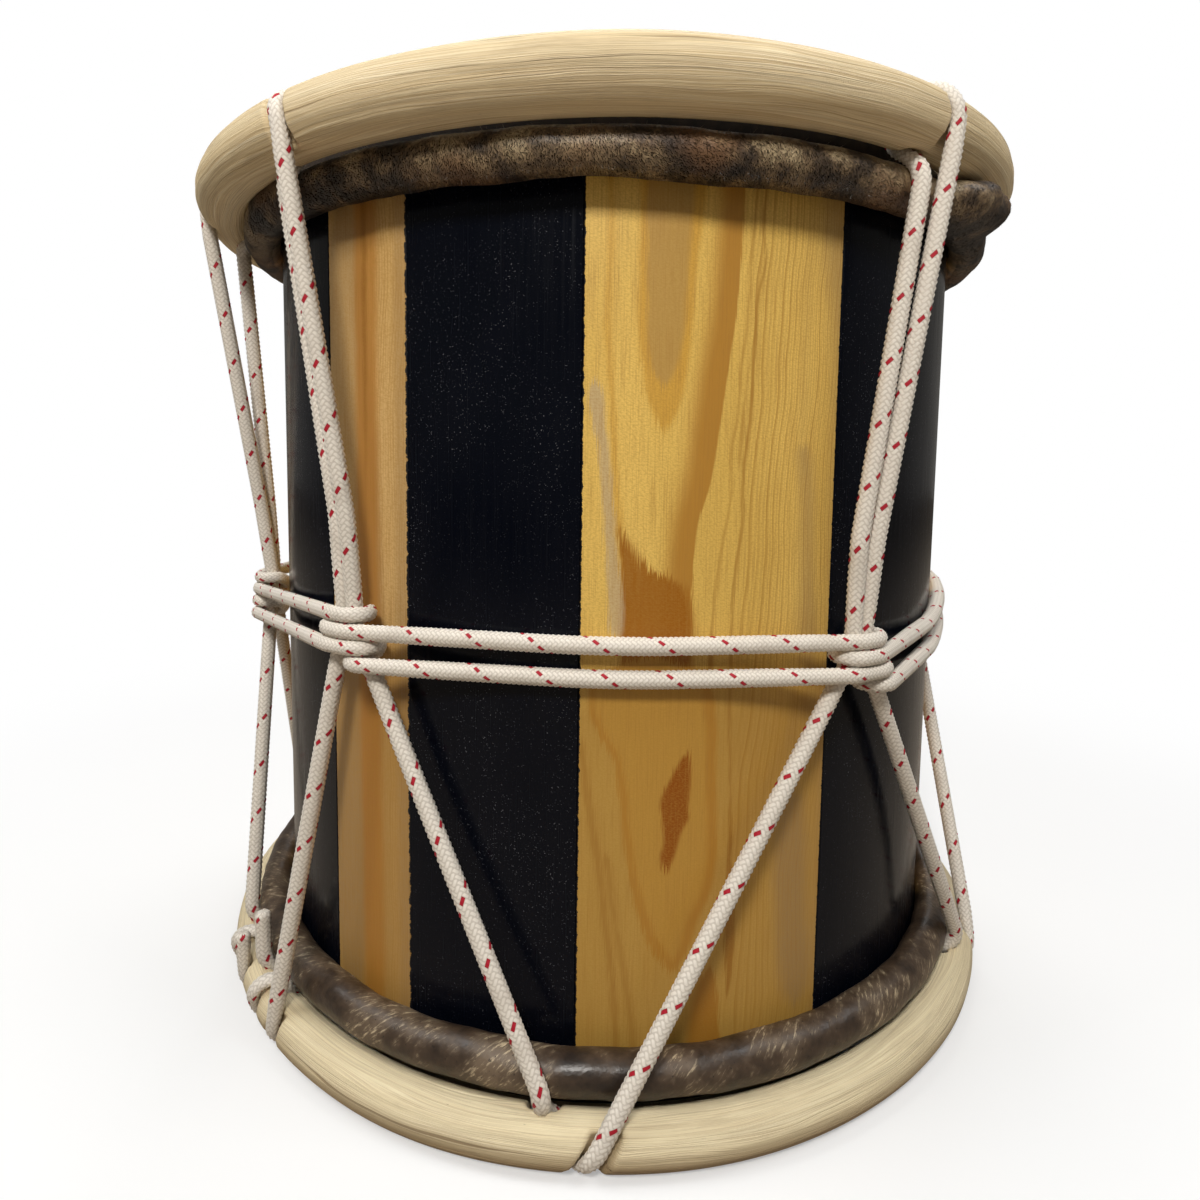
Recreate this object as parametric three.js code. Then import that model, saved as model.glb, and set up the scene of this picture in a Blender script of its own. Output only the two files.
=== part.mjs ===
// Tambora: a drum of glued staves with a hide head on each end, laced with one rope.
// Millimetres, +Z up. Azimuth 0 faces the front (-Y) and grows toward +X.
import * as THREE from 'three';

// Shell of staves
const shellRadius = 140;
const staveThickness = 12;
const shellLength = 300;
const glueGap = 0.3;
const staveFacetDegrees = 5;
const staveEdgeDegrees = [-41.3, -26.2, -3.3, 29.8, 68, 93, 119, 146, 171, 197, 222, 246, 268, 288];

// Hide heads, rolled round their flesh hoops
const seatGap = 0.3;
const skinThickness = 0.8;
const rollSkinThickness = 1.2;
const rollRadius = 6.5;
const fleshHoopRadius = 4.6;
const topRollDepth = 18.7;
const bottomRollDepth = 17.6;
const tuckOpening = 2;
const bottomHeadLift = 1.9;
const headSegments = 60;
const rollOuterSteps = 8;
const rollInnerSteps = 6;
const fleshHoopSides = 6;

// Counter hoops, bent from peeled vine
const topHoop = {
  side: 1,
  beyondRoll: 8.8,
  stockRadius: 9.7,
  aboveShell: -3.3,
  shift: -4.2,
  tiltDegrees: 1.5,
};
const bottomHoop = {
  side: -1,
  beyondRoll: 8.2,
  stockRadius: 7.8,
  shift: 0,
  tiltDegrees: 0,
};
const hoopSides = 10;
const hoopStepDegrees = 6;
const notchStepDegrees = 1;
const notchHalfWidth = 5.2;
const notchReach = 9;
const notchOutset = 0.6;
const leastNotchDepth = 2.5;

// Rope
const ropeRadius = 3;
const squeezedHalf = 2;
const ropeSides = 6;
const ropeSeatGap = 0.4;
const floorGap = 0.3;
const wrapSteps = 10;
const rollSteps = 3;
const wrapExitDegrees = -5.5;
const bothStrandsDegrees = 60;
const rollExitDegrees = -4;
const swellLength = 14;
const tailLength = 16;

// Waist knots
const knotHalfWide = 2.3;
const knotHalfThick = 2.6;
const tieHalfWide = 2.2;
const tieHalfThick = 1.9;
const ropeClearance = 0.5;
const behindRoom = 1.2;
const leanRoom = 0.7;
const tieSteps = 6;
const gatherLength = 28;
const tieArcDegrees = 5;
const tieTailDegrees = 24;

// The rope's route, in degrees round the drum: each crossing of a hoop by where the strand
// passes between hoop and roll (inner) and where it lies on the hoop's outside (outer).
const startWraps = [{ inner: -52, outer: -49.5 }, { inner: -46.5, outer: -43.5 }];
const endWraps = [{ inner: 296, outer: 298.5 }, { inner: 301.5, outer: 304 }];
const topCrossings = [
  { inner: -39.4, outer: -34.8 },
  { inner: 34.8, outer: 37.5 },
  { inner: 99, outer: 101 },
  { inner: 162, outer: 164 },
  { inner: 225, outer: 227 },
  { inner: 284.8, outer: 289.6 },
];
const bottomCrossings = [
  { inner: -6.2, outer: -0.2 },
  { inner: 61, outer: 68 },
  { inner: 128.5, outer: 133.5 },
  { inner: 192.5, outer: 197.5 },
  { inner: 253.5, outer: 258.5 },
];
const knotDegrees = [-32.8, 31.4, 98, 163, 226, 283.5];
const knotHeights = [146.5, 141.3, 144, 144, 144, 142];
const tieStartKnot = 3;

// Sizes worked out from the ones above
const degree = Math.PI / 180;
const fullTurn = 360;
const halfTurn = 180;
const quarterTurn = 90;
const shellBottom = bottomHeadLift + skinThickness + seatGap;
const shellTop = shellBottom + shellLength;
const rollRingRadius = shellRadius + seatGap + rollRadius;
const collarRadius = shellRadius + seatGap + skinThickness;
const pinchSpace = 2 * (squeezedHalf + ropeSeatGap);
topHoop.ringRadius = rollRingRadius + topHoop.beyondRoll;
bottomHoop.ringRadius = rollRingRadius + bottomHoop.beyondRoll;
topHoop.height = shellTop + topHoop.aboveShell;
topHoop.rollHeight = shellTop - topRollDepth;
bottomHoop.height = bottomHoop.stockRadius * Math.cos(Math.PI / hoopSides);
bottomHoop.rollHeight = shellBottom + bottomRollDepth;
const tieOffset = knotHalfThick + ropeClearance + tieHalfThick;
const leaningOffset = tieOffset + leanRoom;
const knotRadius = shellRadius + seatGap + tieHalfThick + tieOffset + behindRoom;
const strandOffset = knotHalfWide + ropeClearance / 2;
const freeStrandOffset = ropeRadius + ropeClearance / 2;
const rowSpacing = 2 * tieHalfWide + ropeClearance;
const tieRunRadius = shellRadius + seatGap + ropeRadius;

// Finishes
const naturalPine = new THREE.MeshStandardMaterial({ color: 0xd9a75c, roughness: 0.35 });
const blackLacquer = new THREE.MeshStandardMaterial({ color: 0x0c0c0e, roughness: 0.2 });
const hide = new THREE.MeshStandardMaterial({ color: 0x4a3a2a, roughness: 0.7 });
const peeledVine = new THREE.MeshStandardMaterial({ color: 0xdcc79a, roughness: 0.6 });
const bentWood = new THREE.MeshStandardMaterial({ color: 0xa98a5c, roughness: 0.7 });
const whiteRope = new THREE.MeshStandardMaterial({ color: 0xe9e4dc, roughness: 0.8 });

// Directions at an azimuth given in degrees
function outward(azimuth) {
  return new THREE.Vector3(Math.sin(azimuth * degree), -Math.cos(azimuth * degree), 0);
}

function onward(azimuth) {
  return new THREE.Vector3(Math.cos(azimuth * degree), Math.sin(azimuth * degree), 0);
}

function polar(radius, azimuth, height) {
  const point = outward(azimuth).multiplyScalar(radius);
  point.z = height;
  return point;
}

function mesh(name, geometry, material) {
  const piece = new THREE.Mesh(geometry, material);
  piece.name = name;
  return piece;
}

// Joins rings of points into a closed skin: a loop of rings, or a run with a cap at each end
function skinRings(rings, isLoop, isReversed) {
  const sides = rings[0].length;
  const positions = rings.flat().flatMap((point) => [point.x, point.y, point.z]);
  const faces = [];
  const addFace = (a, b, c) => faces.push(...(isReversed ? [a, c, b] : [a, b, c]));
  const lastRing = isLoop ? rings.length : rings.length - 1;
  for (let ring = 0; ring < lastRing; ring++) {
    const here = ring * sides;
    const next = ((ring + 1) % rings.length) * sides;
    for (let side = 0; side < sides; side++) {
      const beside = (side + 1) % sides;
      addFace(here + side, here + beside, next + beside);
      addFace(here + side, next + beside, next + side);
    }
  }
  if (!isLoop) {
    const end = lastRing * sides;
    for (let side = 1; side < sides - 1; side++) {
      addFace(0, side + 1, side);
      addFace(end, end + side, end + side + 1);
    }
  }
  const geometry = new THREE.BufferGeometry();
  geometry.setAttribute('position', new THREE.Float32BufferAttribute(positions, 3));
  geometry.setIndex(faces);
  geometry.computeVertexNormals();
  return geometry;
}

// A stave: an arc-shaped board between two glue lines
function staveGeometry(fromDegrees, toDegrees) {
  const glueAngle = glueGap / 2 / shellRadius;
  const start = (fromDegrees - quarterTurn) * degree + glueAngle;
  const end = (toDegrees - quarterTurn) * degree - glueAngle;
  const section = new THREE.Shape();
  section.absarc(0, 0, shellRadius, start, end, false);
  section.absarc(0, 0, shellRadius - staveThickness, end, start, true);
  const facets = Math.ceil((toDegrees - fromDegrees) / staveFacetDegrees);
  const geometry = new THREE.ExtrudeGeometry(section, {
    depth: shellLength,
    bevelEnabled: false,
    curveSegments: facets,
  });
  geometry.translate(0, 0, shellBottom);
  return geometry;
}

// A head: membrane, collar down the shell and hide wrapped round the flesh hoop,
// with the tuck's slit facing the shell. Height 0 is the shell's end.
function headGeometry(rollDepth) {
  const innerWrapRadius = rollRadius - rollSkinThickness;
  const membraneTop = seatGap + skinThickness;
  const collarInside = collarRadius - skinThickness;
  const joinAngle = halfTurn - Math.acos((rollRingRadius - collarRadius) / rollRadius) / degree;
  const slitAngle = Math.asin(tuckOpening / 2 / rollRadius) / degree;
  const onRoll = (radius, angle) => new THREE.Vector2(
    rollRingRadius + radius * Math.cos(angle * degree),
    radius * Math.sin(angle * degree) - rollDepth,
  );
  const profile = [new THREE.Vector2(0, membraneTop)];
  profile.push(new THREE.Vector2(collarInside, membraneTop));
  profile.push(new THREE.Vector2(collarRadius, seatGap));
  const wrapEnd = slitAngle - halfTurn;
  for (let step = 0; step <= rollOuterSteps; step++) {
    const angle = THREE.MathUtils.lerp(joinAngle, wrapEnd, step / rollOuterSteps);
    profile.push(onRoll(rollRadius, angle));
  }
  const innerJoin = halfTurn - slitAngle;
  for (let step = 0; step <= rollInnerSteps; step++) {
    const angle = THREE.MathUtils.lerp(wrapEnd, innerJoin, step / rollInnerSteps);
    profile.push(onRoll(innerWrapRadius, angle));
  }
  profile.push(new THREE.Vector2(collarInside, tuckOpening / 2 - rollDepth));
  profile.push(new THREE.Vector2(collarInside, seatGap));
  profile.push(new THREE.Vector2(0, seatGap));
  profile.reverse();
  return new THREE.LatheGeometry(profile, headSegments);
}

function fleshHoopGeometry() {
  return new THREE.TorusGeometry(rollRingRadius, fleshHoopRadius, fleshHoopSides, headSegments);
}

// Where a counter hoop's stock is centred at an azimuth: distance from the axis, and height
function hoopCentre(hoop, azimuth) {
  const sine = Math.sin(azimuth * degree);
  const across = hoop.shift * Math.cos(azimuth * degree);
  const radius = hoop.shift * sine + Math.sqrt(hoop.ringRadius ** 2 - across ** 2);
  const rise = Math.tan(hoop.tiltDegrees * degree) * (radius * sine - hoop.shift);
  return { radius, height: hoop.height + rise };
}

// The neck cut into the hoop under one crossing: its radius, how far its centre is moved
// outward and upward, and the angle round the stock at which hoop and roll pinch the rope.
function neckAt(hoop, azimuth) {
  const centre = hoopCentre(hoop, azimuth);
  const toRoll = rollRadius + pinchSpace;
  if (hoop === bottomHoop) {
    const inset = centre.radius + notchOutset - rollRingRadius;
    const underside = floorGap + ropeSeatGap + 2 * squeezedHalf;
    const rise = hoop.rollHeight - underside;
    const neck = (inset ** 2 + rise ** 2 - toRoll ** 2) / (2 * (toRoll + rise));
    const lift = underside + neck - centre.height;
    const pinch = halfTurn + Math.atan2(rise - neck, inset) / degree;
    return { outset: notchOutset, lift, neck, pinch };
  }
  const inset = centre.radius - rollRingRadius;
  const drop = centre.height - hoop.rollHeight;
  const besideRoll = Math.hypot(inset, drop) - toRoll;
  const besideCollar = centre.radius - collarRadius - pinchSpace;
  const neck = Math.min(besideRoll, besideCollar, hoop.stockRadius - leastNotchDepth);
  const pinch = halfTurn + Math.atan2(drop, inset) / degree;
  return { outset: 0, lift: 0, neck, pinch };
}

// A point round the stock at a crossing: angle 0 is outside, 90 the playing side
function roundNeck(crossing, angle, azimuth, distance) {
  const centre = hoopCentre(crossing.hoop, azimuth);
  const out = centre.radius + crossing.neck.outset + distance * Math.cos(angle * degree);
  const along = distance * Math.sin(angle * degree) * crossing.hoop.side;
  return polar(out, azimuth, centre.height + crossing.neck.lift + along);
}

// Azimuth of a crossing's strand at an angle round the stock: across the wrap, and then
// leaning toward its knot
function crossingAzimuth(crossing, angle) {
  const { neck, pinch } = crossing.neck;
  if (angle >= wrapExitDegrees) {
    const share = (pinch - angle) / (pinch - wrapExitDegrees);
    return THREE.MathUtils.lerp(crossing.inner, crossing.outer, share);
  }
  const wrapRadius = neck + ropeSeatGap + squeezedHalf;
  const exitHeight = Math.sin(wrapExitDegrees * degree);
  const passed = wrapRadius * (exitHeight - Math.sin(angle * degree));
  return crossing.outer + crossing.lean * passed;
}

// How much of a crossing's notch there is at a point of the hoop, from 0 to 1
function notchShare(crossing, angle, azimuth, radius) {
  const ownAngle = angle > crossing.neck.pinch ? angle - fullTurn : angle;
  const strands = [];
  if (ownAngle > -halfTurn + bothStrandsDegrees) {
    strands.push(crossingAzimuth(crossing, ownAngle));
  }
  if (ownAngle < -bothStrandsDegrees) {
    strands.push(crossing.inner);
  }
  const nearest = Math.min(...strands.map((strand) => Math.abs(azimuthBetween(strand, azimuth))));
  const distance = nearest * degree * radius;
  const wrapLength = (crossing.neck.pinch - wrapExitDegrees) * degree * crossing.neck.neck;
  const drift = (crossing.outer - crossing.inner) * degree * radius;
  const halfWidth = notchHalfWidth * Math.hypot(1, drift / wrapLength);
  return Math.exp(-((distance / halfWidth) ** 3));
}

// A knot's frame: lateral x and outward y at a height, turned into a point
function atKnot(knot, x, y, height) {
  const azimuth = knotDegrees[knot];
  const point = outward(azimuth).multiplyScalar(y).addScaledVector(onward(azimuth), x);
  point.z = height;
  return point;
}

// Where a strand leaves its knot for the bottom hoop, and its place lower down
function splitHeight(knot) {
  return knotHeights[knot] + rowSpacing / 2;
}

function strandContact(crossing, isInner) {
  const { hoop } = crossing;
  if (isInner) {
    const distance = rollRadius + ropeSeatGap + ropeRadius;
    const out = rollRingRadius + distance * Math.cos(rollExitDegrees * degree);
    const along = distance * Math.sin(rollExitDegrees * degree) * hoop.side;
    return polar(out, crossing.inner, hoop.rollHeight + along);
  }
  const distance = crossing.neck.neck + ropeSeatGap + squeezedHalf;
  return roundNeck(crossing, wrapExitDegrees, crossing.outer, distance);
}

// The strand's lean, in degrees of azimuth for each millimetre along the drum
function leanToKnot(hoop, outer, knot) {
  const lateral = hoop === topHoop ? strandOffset : -strandOffset;
  const target = knotDegrees[knot] + lateral / knotRadius / degree;
  return (target - outer) / Math.abs(hoop.height - knotHeights[knot]);
}

function prepareCrossings(crossings, hoop, firstKnot) {
  crossings.forEach((crossing, index) => {
    crossing.hoop = hoop;
    crossing.neck = neckAt(hoop, crossing.inner);
    const knot = firstKnot === undefined ? undefined : Math.min(index + firstKnot, knotDegrees.length - 1);
    crossing.lean = knot === undefined ? 0 : leanToKnot(hoop, crossing.outer, knot);
  });
}
prepareCrossings(topCrossings, topHoop, 0);
prepareCrossings(bottomCrossings, bottomHoop, 1);
prepareCrossings(startWraps, bottomHoop);
prepareCrossings(endWraps, bottomHoop);
startWraps.at(-1).lean = leanToKnot(bottomHoop, startWraps.at(-1).outer, 0);

// Signed shortest difference between two azimuths
function azimuthBetween(from, to) {
  return THREE.MathUtils.euclideanModulo(to - from + halfTurn, fullTurn) - halfTurn;
}

// Azimuths of a hoop's sections: even steps, with finer ones at each notch
function hoopStations(crossings) {
  const reach = notchReach / bottomHoop.ringRadius / degree;
  const isNotched = (azimuth) => crossings.some(({ inner, outer }) => {
    const middle = (inner + outer) / 2;
    const halfZone = Math.abs(outer - inner) / 2 + reach;
    return Math.abs(azimuthBetween(middle, azimuth)) <= halfZone;
  });
  const stations = [];
  let sinceLast = hoopStepDegrees;
  for (let azimuth = 0; azimuth < fullTurn; azimuth += notchStepDegrees) {
    if (isNotched(azimuth) || sinceLast >= hoopStepDegrees) {
      stations.push(azimuth);
      sinceLast = 0;
    }
    sinceLast += notchStepDegrees;
  }
  return stations;
}

// The stock's own centre, where nothing is cut
const uncut = { outset: 0, lift: 0 };

// A counter hoop: round stock that thins to a neck wherever the rope crosses
function counterHoopGeometry(hoop, crossings) {
  const rings = hoopStations(crossings).map((azimuth) => {
    const centre = hoopCentre(hoop, azimuth);
    const ring = [];
    for (let side = 0; side < hoopSides; side++) {
      const angle = (side + 1 / 2) * (fullTurn / hoopSides) - quarterTurn;
      const point = roundNeck({ hoop, neck: uncut }, angle, azimuth, hoop.stockRadius);
      let deepest = 0;
      let neckPoint = point;
      for (const crossing of crossings) {
        const cut = notchShare(crossing, angle, azimuth, centre.radius);
        if (cut > deepest) {
          deepest = cut;
          neckPoint = roundNeck(crossing, angle, azimuth, crossing.neck.neck);
        }
      }
      ring.push(point.clone().lerp(neckPoint, deepest));
    }
    return ring;
  });
  return skinRings(rings, true, hoop.side > 0);
}

// One station of a rope: where it is, and its half width and half thickness
function station(point, sideways, wide, thick) {
  return { point, sideways, wide, thick };
}

// The rope's skin: oval rings square to the route
function ropeRings(stations) {
  return stations.map(({ point, sideways, wide, thick }, index) => {
    const before = stations[Math.max(index - 1, 0)].point;
    const after = stations[Math.min(index + 1, stations.length - 1)].point;
    const arriving = point.clone().sub(before).normalize();
    const leaving = after.clone().sub(point).normalize();
    const forward = arriving.add(leaving).normalize();
    const across = sideways.clone().addScaledVector(forward, -sideways.dot(forward)).normalize();
    const normal = forward.clone().cross(across);
    const ring = [];
    for (let side = 0; side < ropeSides; side++) {
      const angle = (side / ropeSides) * 2 * Math.PI;
      const offset = across.clone().multiplyScalar(wide * Math.cos(angle));
      offset.addScaledVector(normal, thick * Math.sin(angle));
      ring.push(point.clone().add(offset));
    }
    return ring;
  });
}

// Least distance between the rope's points, leaving out neighbours along its length
function leastGap(rings, stations) {
  const reach = [0];
  for (let index = 1; index < stations.length; index++) {
    const step = stations[index].point.distanceTo(stations[index - 1].point);
    reach.push(reach[index - 1] + step);
  }
  const neighbourLength = 5 * ropeRadius;
  let least = Infinity;
  for (let first = 0; first < rings.length; first++) {
    for (let second = first + 1; second < rings.length; second++) {
      if (reach[second] - reach[first] < neighbourLength) {
        continue;
      }
      for (const from of rings[first]) {
        for (const to of rings[second]) {
          least = Math.min(least, from.distanceTo(to));
        }
      }
    }
  }
  return { least, length: reach.at(-1) };
}

// The strand from its hoop to the roll's outside, squeezed where it is pinched
function rollStations(crossing) {
  const pinchOnRoll = crossing.neck.pinch - halfTurn;
  const near = rollRadius + ropeSeatGap + squeezedHalf;
  const far = rollRadius + ropeSeatGap + ropeRadius;
  const stations = [];
  for (let step = 0; step < rollSteps; step++) {
    const share = step / rollSteps;
    const angle = THREE.MathUtils.lerp(rollExitDegrees, pinchOnRoll, share) * degree;
    const distance = THREE.MathUtils.lerp(far, near, share);
    const out = rollRingRadius + distance * Math.cos(angle);
    const along = distance * Math.sin(angle) * crossing.hoop.side;
    const point = polar(out, crossing.inner, crossing.hoop.rollHeight + along);
    const thick = THREE.MathUtils.lerp(ropeRadius, squeezedHalf, share);
    stations.push(station(point, onward(crossing.inner), ropeRadius, thick));
  }
  return stations;
}

// One wrap round the hoop: from the pinch, inside, across the playing side, to the outside
function wrapStations(crossing) {
  const { neck, pinch } = crossing.neck;
  const distance = neck + ropeSeatGap + squeezedHalf;
  const stations = [];
  for (let step = 0; step <= wrapSteps; step++) {
    const angle = THREE.MathUtils.lerp(pinch, wrapExitDegrees, step / wrapSteps);
    const azimuth = crossingAzimuth(crossing, angle);
    const point = roundNeck(crossing, angle, azimuth, distance);
    stations.push(station(point, onward(azimuth), ropeRadius, squeezedHalf));
  }
  return stations;
}

// From the outside of one wrap over the drum side of the hoop to the next wrap's pinch
function linkStations(from, to) {
  const outside = from.hoop.stockRadius + ropeSeatGap + squeezedHalf;
  const seated = from.neck.neck + ropeSeatGap + squeezedHalf;
  const linkSteps = Math.round(wrapSteps / 3);
  const stations = [];
  for (let step = 1; step <= linkSteps; step++) {
    const share = step / (linkSteps + 1);
    const angle = THREE.MathUtils.lerp(wrapExitDegrees, to.neck.pinch - fullTurn, share);
    const azimuth = THREE.MathUtils.lerp(from.outer, to.inner, share);
    const bulge = Math.sin(share * Math.PI);
    const distance = THREE.MathUtils.lerp(seated, outside, bulge);
    const point = roundNeck(from, angle, azimuth, distance);
    stations.push(station(point, onward(azimuth), ropeRadius, squeezedHalf));
  }
  return stations;
}

// A full-size station just past a contact, on the way to the knot
function swollen(contact, target) {
  const point = contact.clone().addScaledVector(target.clone().sub(contact).normalize(), swellLength);
  const azimuth = Math.atan2(point.x, -point.y) / degree;
  return station(point, onward(azimuth), ropeRadius, ropeRadius);
}

// One strand of a pair through its knot, from the top hoop down; isLeft for the left strand
function knotStations(knot, isLeft, topContact, bottomContact) {
  const lateral = isLeft ? -1 : 1;
  const sideways = onward(knotDegrees[knot]);
  const knotTop = knotHeights[knot] + 2 * rowSpacing;
  const entry = atKnot(knot, lateral * strandOffset, knotRadius, knotTop);
  const split = atKnot(knot, lateral * strandOffset, knotRadius, splitHeight(knot));
  const share = gatherLength / (topContact.z - knotTop);
  const gathered = entry.clone().lerp(topContact, share);
  const local = gathered.dot(sideways);
  gathered.addScaledVector(sideways, lateral * freeStrandOffset - local);
  const lower = split.clone().lerp(bottomContact, (3 / 2 * rowSpacing) / (split.z - bottomContact.z));
  const free = split.clone().lerp(bottomContact, (4 * rowSpacing) / (split.z - bottomContact.z));
  return [
    station(gathered, sideways, ropeRadius, ropeRadius),
    station(entry, sideways, knotHalfWide, knotHalfThick),
    station(split, sideways, knotHalfWide, knotHalfThick),
    station(lower, sideways, knotHalfWide, knotHalfThick),
    station(free, sideways, ropeRadius, ropeRadius),
  ];
}

// Centre of a pair's strand at a height inside the knot, as lateral x and outward y
function strandAt(knot, isLeft, bottomContact, height) {
  const lateral = isLeft ? -1 : 1;
  const split = atKnot(knot, lateral * strandOffset, knotRadius, splitHeight(knot));
  const share = Math.max(0, (split.z - height) / (split.z - bottomContact.z));
  const point = split.lerp(bottomContact, share);
  return new THREE.Vector2(point.dot(onward(knotDegrees[knot])), point.dot(outward(knotDegrees[knot])));
}

// The bottom crossing that each strand of a knot leads to
const leftEnds = [startWraps.at(-1), ...bottomCrossings];
const rightEnds = [...bottomCrossings, endWraps[0]];
const leftContacts = leftEnds.map((crossing) => strandContact(crossing, false));
const rightContacts = rightEnds.map((crossing) => strandContact(crossing, true));

function lacingStations() {
  const stations = [];
  const startContact = strandContact(startWraps[0], true);
  const tail = startContact.clone();
  tail.z += tailLength;
  stations.push(station(tail, onward(startWraps[0].inner), ropeRadius, ropeRadius));
  stations.push(...rollStations(startWraps[0]), ...wrapStations(startWraps[0]));
  stations.push(...linkStations(startWraps[0], startWraps[1]));
  stations.push(...wrapStations(startWraps[1]));
  topCrossings.forEach((top, knot) => {
    const innerTop = strandContact(top, true);
    const outerTop = strandContact(top, false);
    const left = knotStations(knot, true, innerTop, leftContacts[knot]).reverse();
    stations.push(swollen(leftContacts[knot], left[0].point), ...left);
    stations.push(...rollStations(top), ...wrapStations(top));
    const right = knotStations(knot, false, outerTop, rightContacts[knot]);
    stations.push(swollen(outerTop, right[0].point), ...right);
    const bottom = rightEnds[knot];
    stations.push(...rollStations(bottom), ...wrapStations(bottom));
  });
  stations.push(...linkStations(endWraps[0], endWraps[1]));
  stations.push(...wrapStations(endWraps[1]));
  const endContact = strandContact(endWraps[1], false);
  endContact.z += tailLength;
  stations.push(station(endContact, onward(endWraps[1].outer), ropeRadius, ropeRadius));
  return stations;
}

// Points on an arc round a strand, square to the drum's axis
function aroundStrand(centre, offset, fromAngle, toAngle, steps) {
  const points = [];
  for (let step = 0; step <= steps; step++) {
    const angle = THREE.MathUtils.lerp(fromAngle, toAngle, step / steps) * degree;
    points.push(new THREE.Vector2(
      centre.x + offset * Math.cos(angle),
      centre.y + offset * Math.sin(angle),
    ));
  }
  return points;
}

function behind(centre, offset) {
  return new THREE.Vector2(centre.x, centre.y - offset);
}

// Angle by which a straight run from the knot's front meets the shell run
const runAngle = Math.acos(tieRunRadius / (knotRadius + tieOffset)) / degree;

// The tie rope's turn at a knot. The upper row goes round both strands, the lower one
// round the right strand only; each drops one rope's height behind the strands.
function tieTurn(knot, isUpper) {
  const centreHeight = knotHeights[knot];
  const arriveHeight = centreHeight + (isUpper ? 3 / 2 : -1 / 2) * rowSpacing;
  const leaveHeight = arriveHeight - rowSpacing;
  const strands = (height) => ({
    left: strandAt(knot, true, leftContacts[knot], height),
    right: strandAt(knot, false, rightContacts[knot], height),
  });
  const arriving = strands(arriveHeight);
  const leaving = strands(leaveHeight);
  const middle = strands((arriveHeight + leaveHeight) / 2);
  const arriveAngle = quarterTurn + runAngle;
  const leaveAngle = quarterTurn - runAngle;
  const arriveOffset = isUpper ? tieOffset : leaningOffset;
  const behindRight = -halfTurn / 4;
  const behindLeft = -halfTurn * (3 / 4);
  const quarterSteps = tieSteps / 2;
  const legs = [];
  const addLeg = (points, height) => {
    points.forEach((point) => legs.push(atKnot(knot, point.x, point.y, height)));
  };
  addLeg(aroundStrand(arriving.left, arriveOffset, arriveAngle, quarterTurn, 1), arriveHeight);
  addLeg(
    aroundStrand(arriving.right, arriveOffset, quarterTurn, behindRight, quarterSteps + 1),
    arriveHeight,
  );
  if (isUpper) {
    const third = rowSpacing / 3;
    addLeg([behind(middle.right, tieOffset)], arriveHeight - third);
    addLeg([behind(middle.left, tieOffset)], leaveHeight + third);
    addLeg(
      aroundStrand(leaving.left, leaningOffset, behindLeft, quarterTurn - fullTurn, quarterSteps + 1),
      leaveHeight,
    );
    addLeg(aroundStrand(leaving.right, leaningOffset, quarterTurn, leaveAngle, 1), leaveHeight);
  } else {
    addLeg([behind(middle.right, leaningOffset)], (arriveHeight + leaveHeight) / 2);
    addLeg(
      aroundStrand(leaving.right, leaningOffset, behindLeft, leaveAngle - fullTurn, quarterSteps + 2),
      leaveHeight,
    );
  }
  return legs;
}

function azimuthOf(point) {
  return Math.atan2(point.x, -point.y) / degree;
}

// Angle round the drum from a point in front of a knot to where its run meets the shell
function landingAngle(point) {
  return Math.acos(tieRunRadius / Math.hypot(point.x, point.y)) / degree;
}

function tieStations() {
  const upward = new THREE.Vector3(0, 0, 1);
  const knotCount = knotDegrees.length;
  const stations = [];
  const addRun = (fromAzimuth, toAzimuth, fromHeight, toHeight) => {
    const steps = Math.max(1, Math.round((toAzimuth - fromAzimuth) / tieArcDegrees));
    for (let step = 0; step <= steps; step++) {
      const share = step / steps;
      const azimuth = THREE.MathUtils.lerp(fromAzimuth, toAzimuth, share);
      const height = THREE.MathUtils.lerp(fromHeight, toHeight, share);
      stations.push(station(polar(tieRunRadius, azimuth, height), upward, ropeRadius, ropeRadius));
    }
  };
  let leftAzimuth;
  let leftHeight;
  for (let turn = 0; turn < 2 * knotCount; turn++) {
    const knot = (tieStartKnot + turn) % knotCount;
    const legs = tieTurn(knot, turn < knotCount);
    const arrive = azimuthOf(legs[0]) - landingAngle(legs[0]);
    if (turn === 0) {
      addRun(arrive - tieTailDegrees, arrive, legs[0].z, legs[0].z);
    } else {
      const span = THREE.MathUtils.euclideanModulo(arrive - leftAzimuth, fullTurn);
      if (span < halfTurn) {
        addRun(leftAzimuth, leftAzimuth + span, leftHeight, legs[0].z);
      }
    }
    legs.forEach((point) => stations.push(station(point, upward, tieHalfWide, tieHalfThick)));
    leftAzimuth = azimuthOf(legs.at(-1)) + landingAngle(legs.at(-1));
    leftHeight = legs.at(-1).z;
  }
  addRun(leftAzimuth, leftAzimuth + tieTailDegrees, leftHeight, leftHeight);
  return stations;
}

// Puts the pieces together
const drum = new THREE.Group();

staveEdgeDegrees.forEach((fromDegrees, index) => {
  const isLast = index === staveEdgeDegrees.length - 1;
  const toDegrees = isLast ? staveEdgeDegrees[0] + fullTurn : staveEdgeDegrees[index + 1];
  const name = `stave_${String(index + 1).padStart(2, '0')}`;
  const finish = index % 2 === 0 ? naturalPine : blackLacquer;
  drum.add(mesh(name, staveGeometry(fromDegrees, toDegrees), finish));
});

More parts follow.
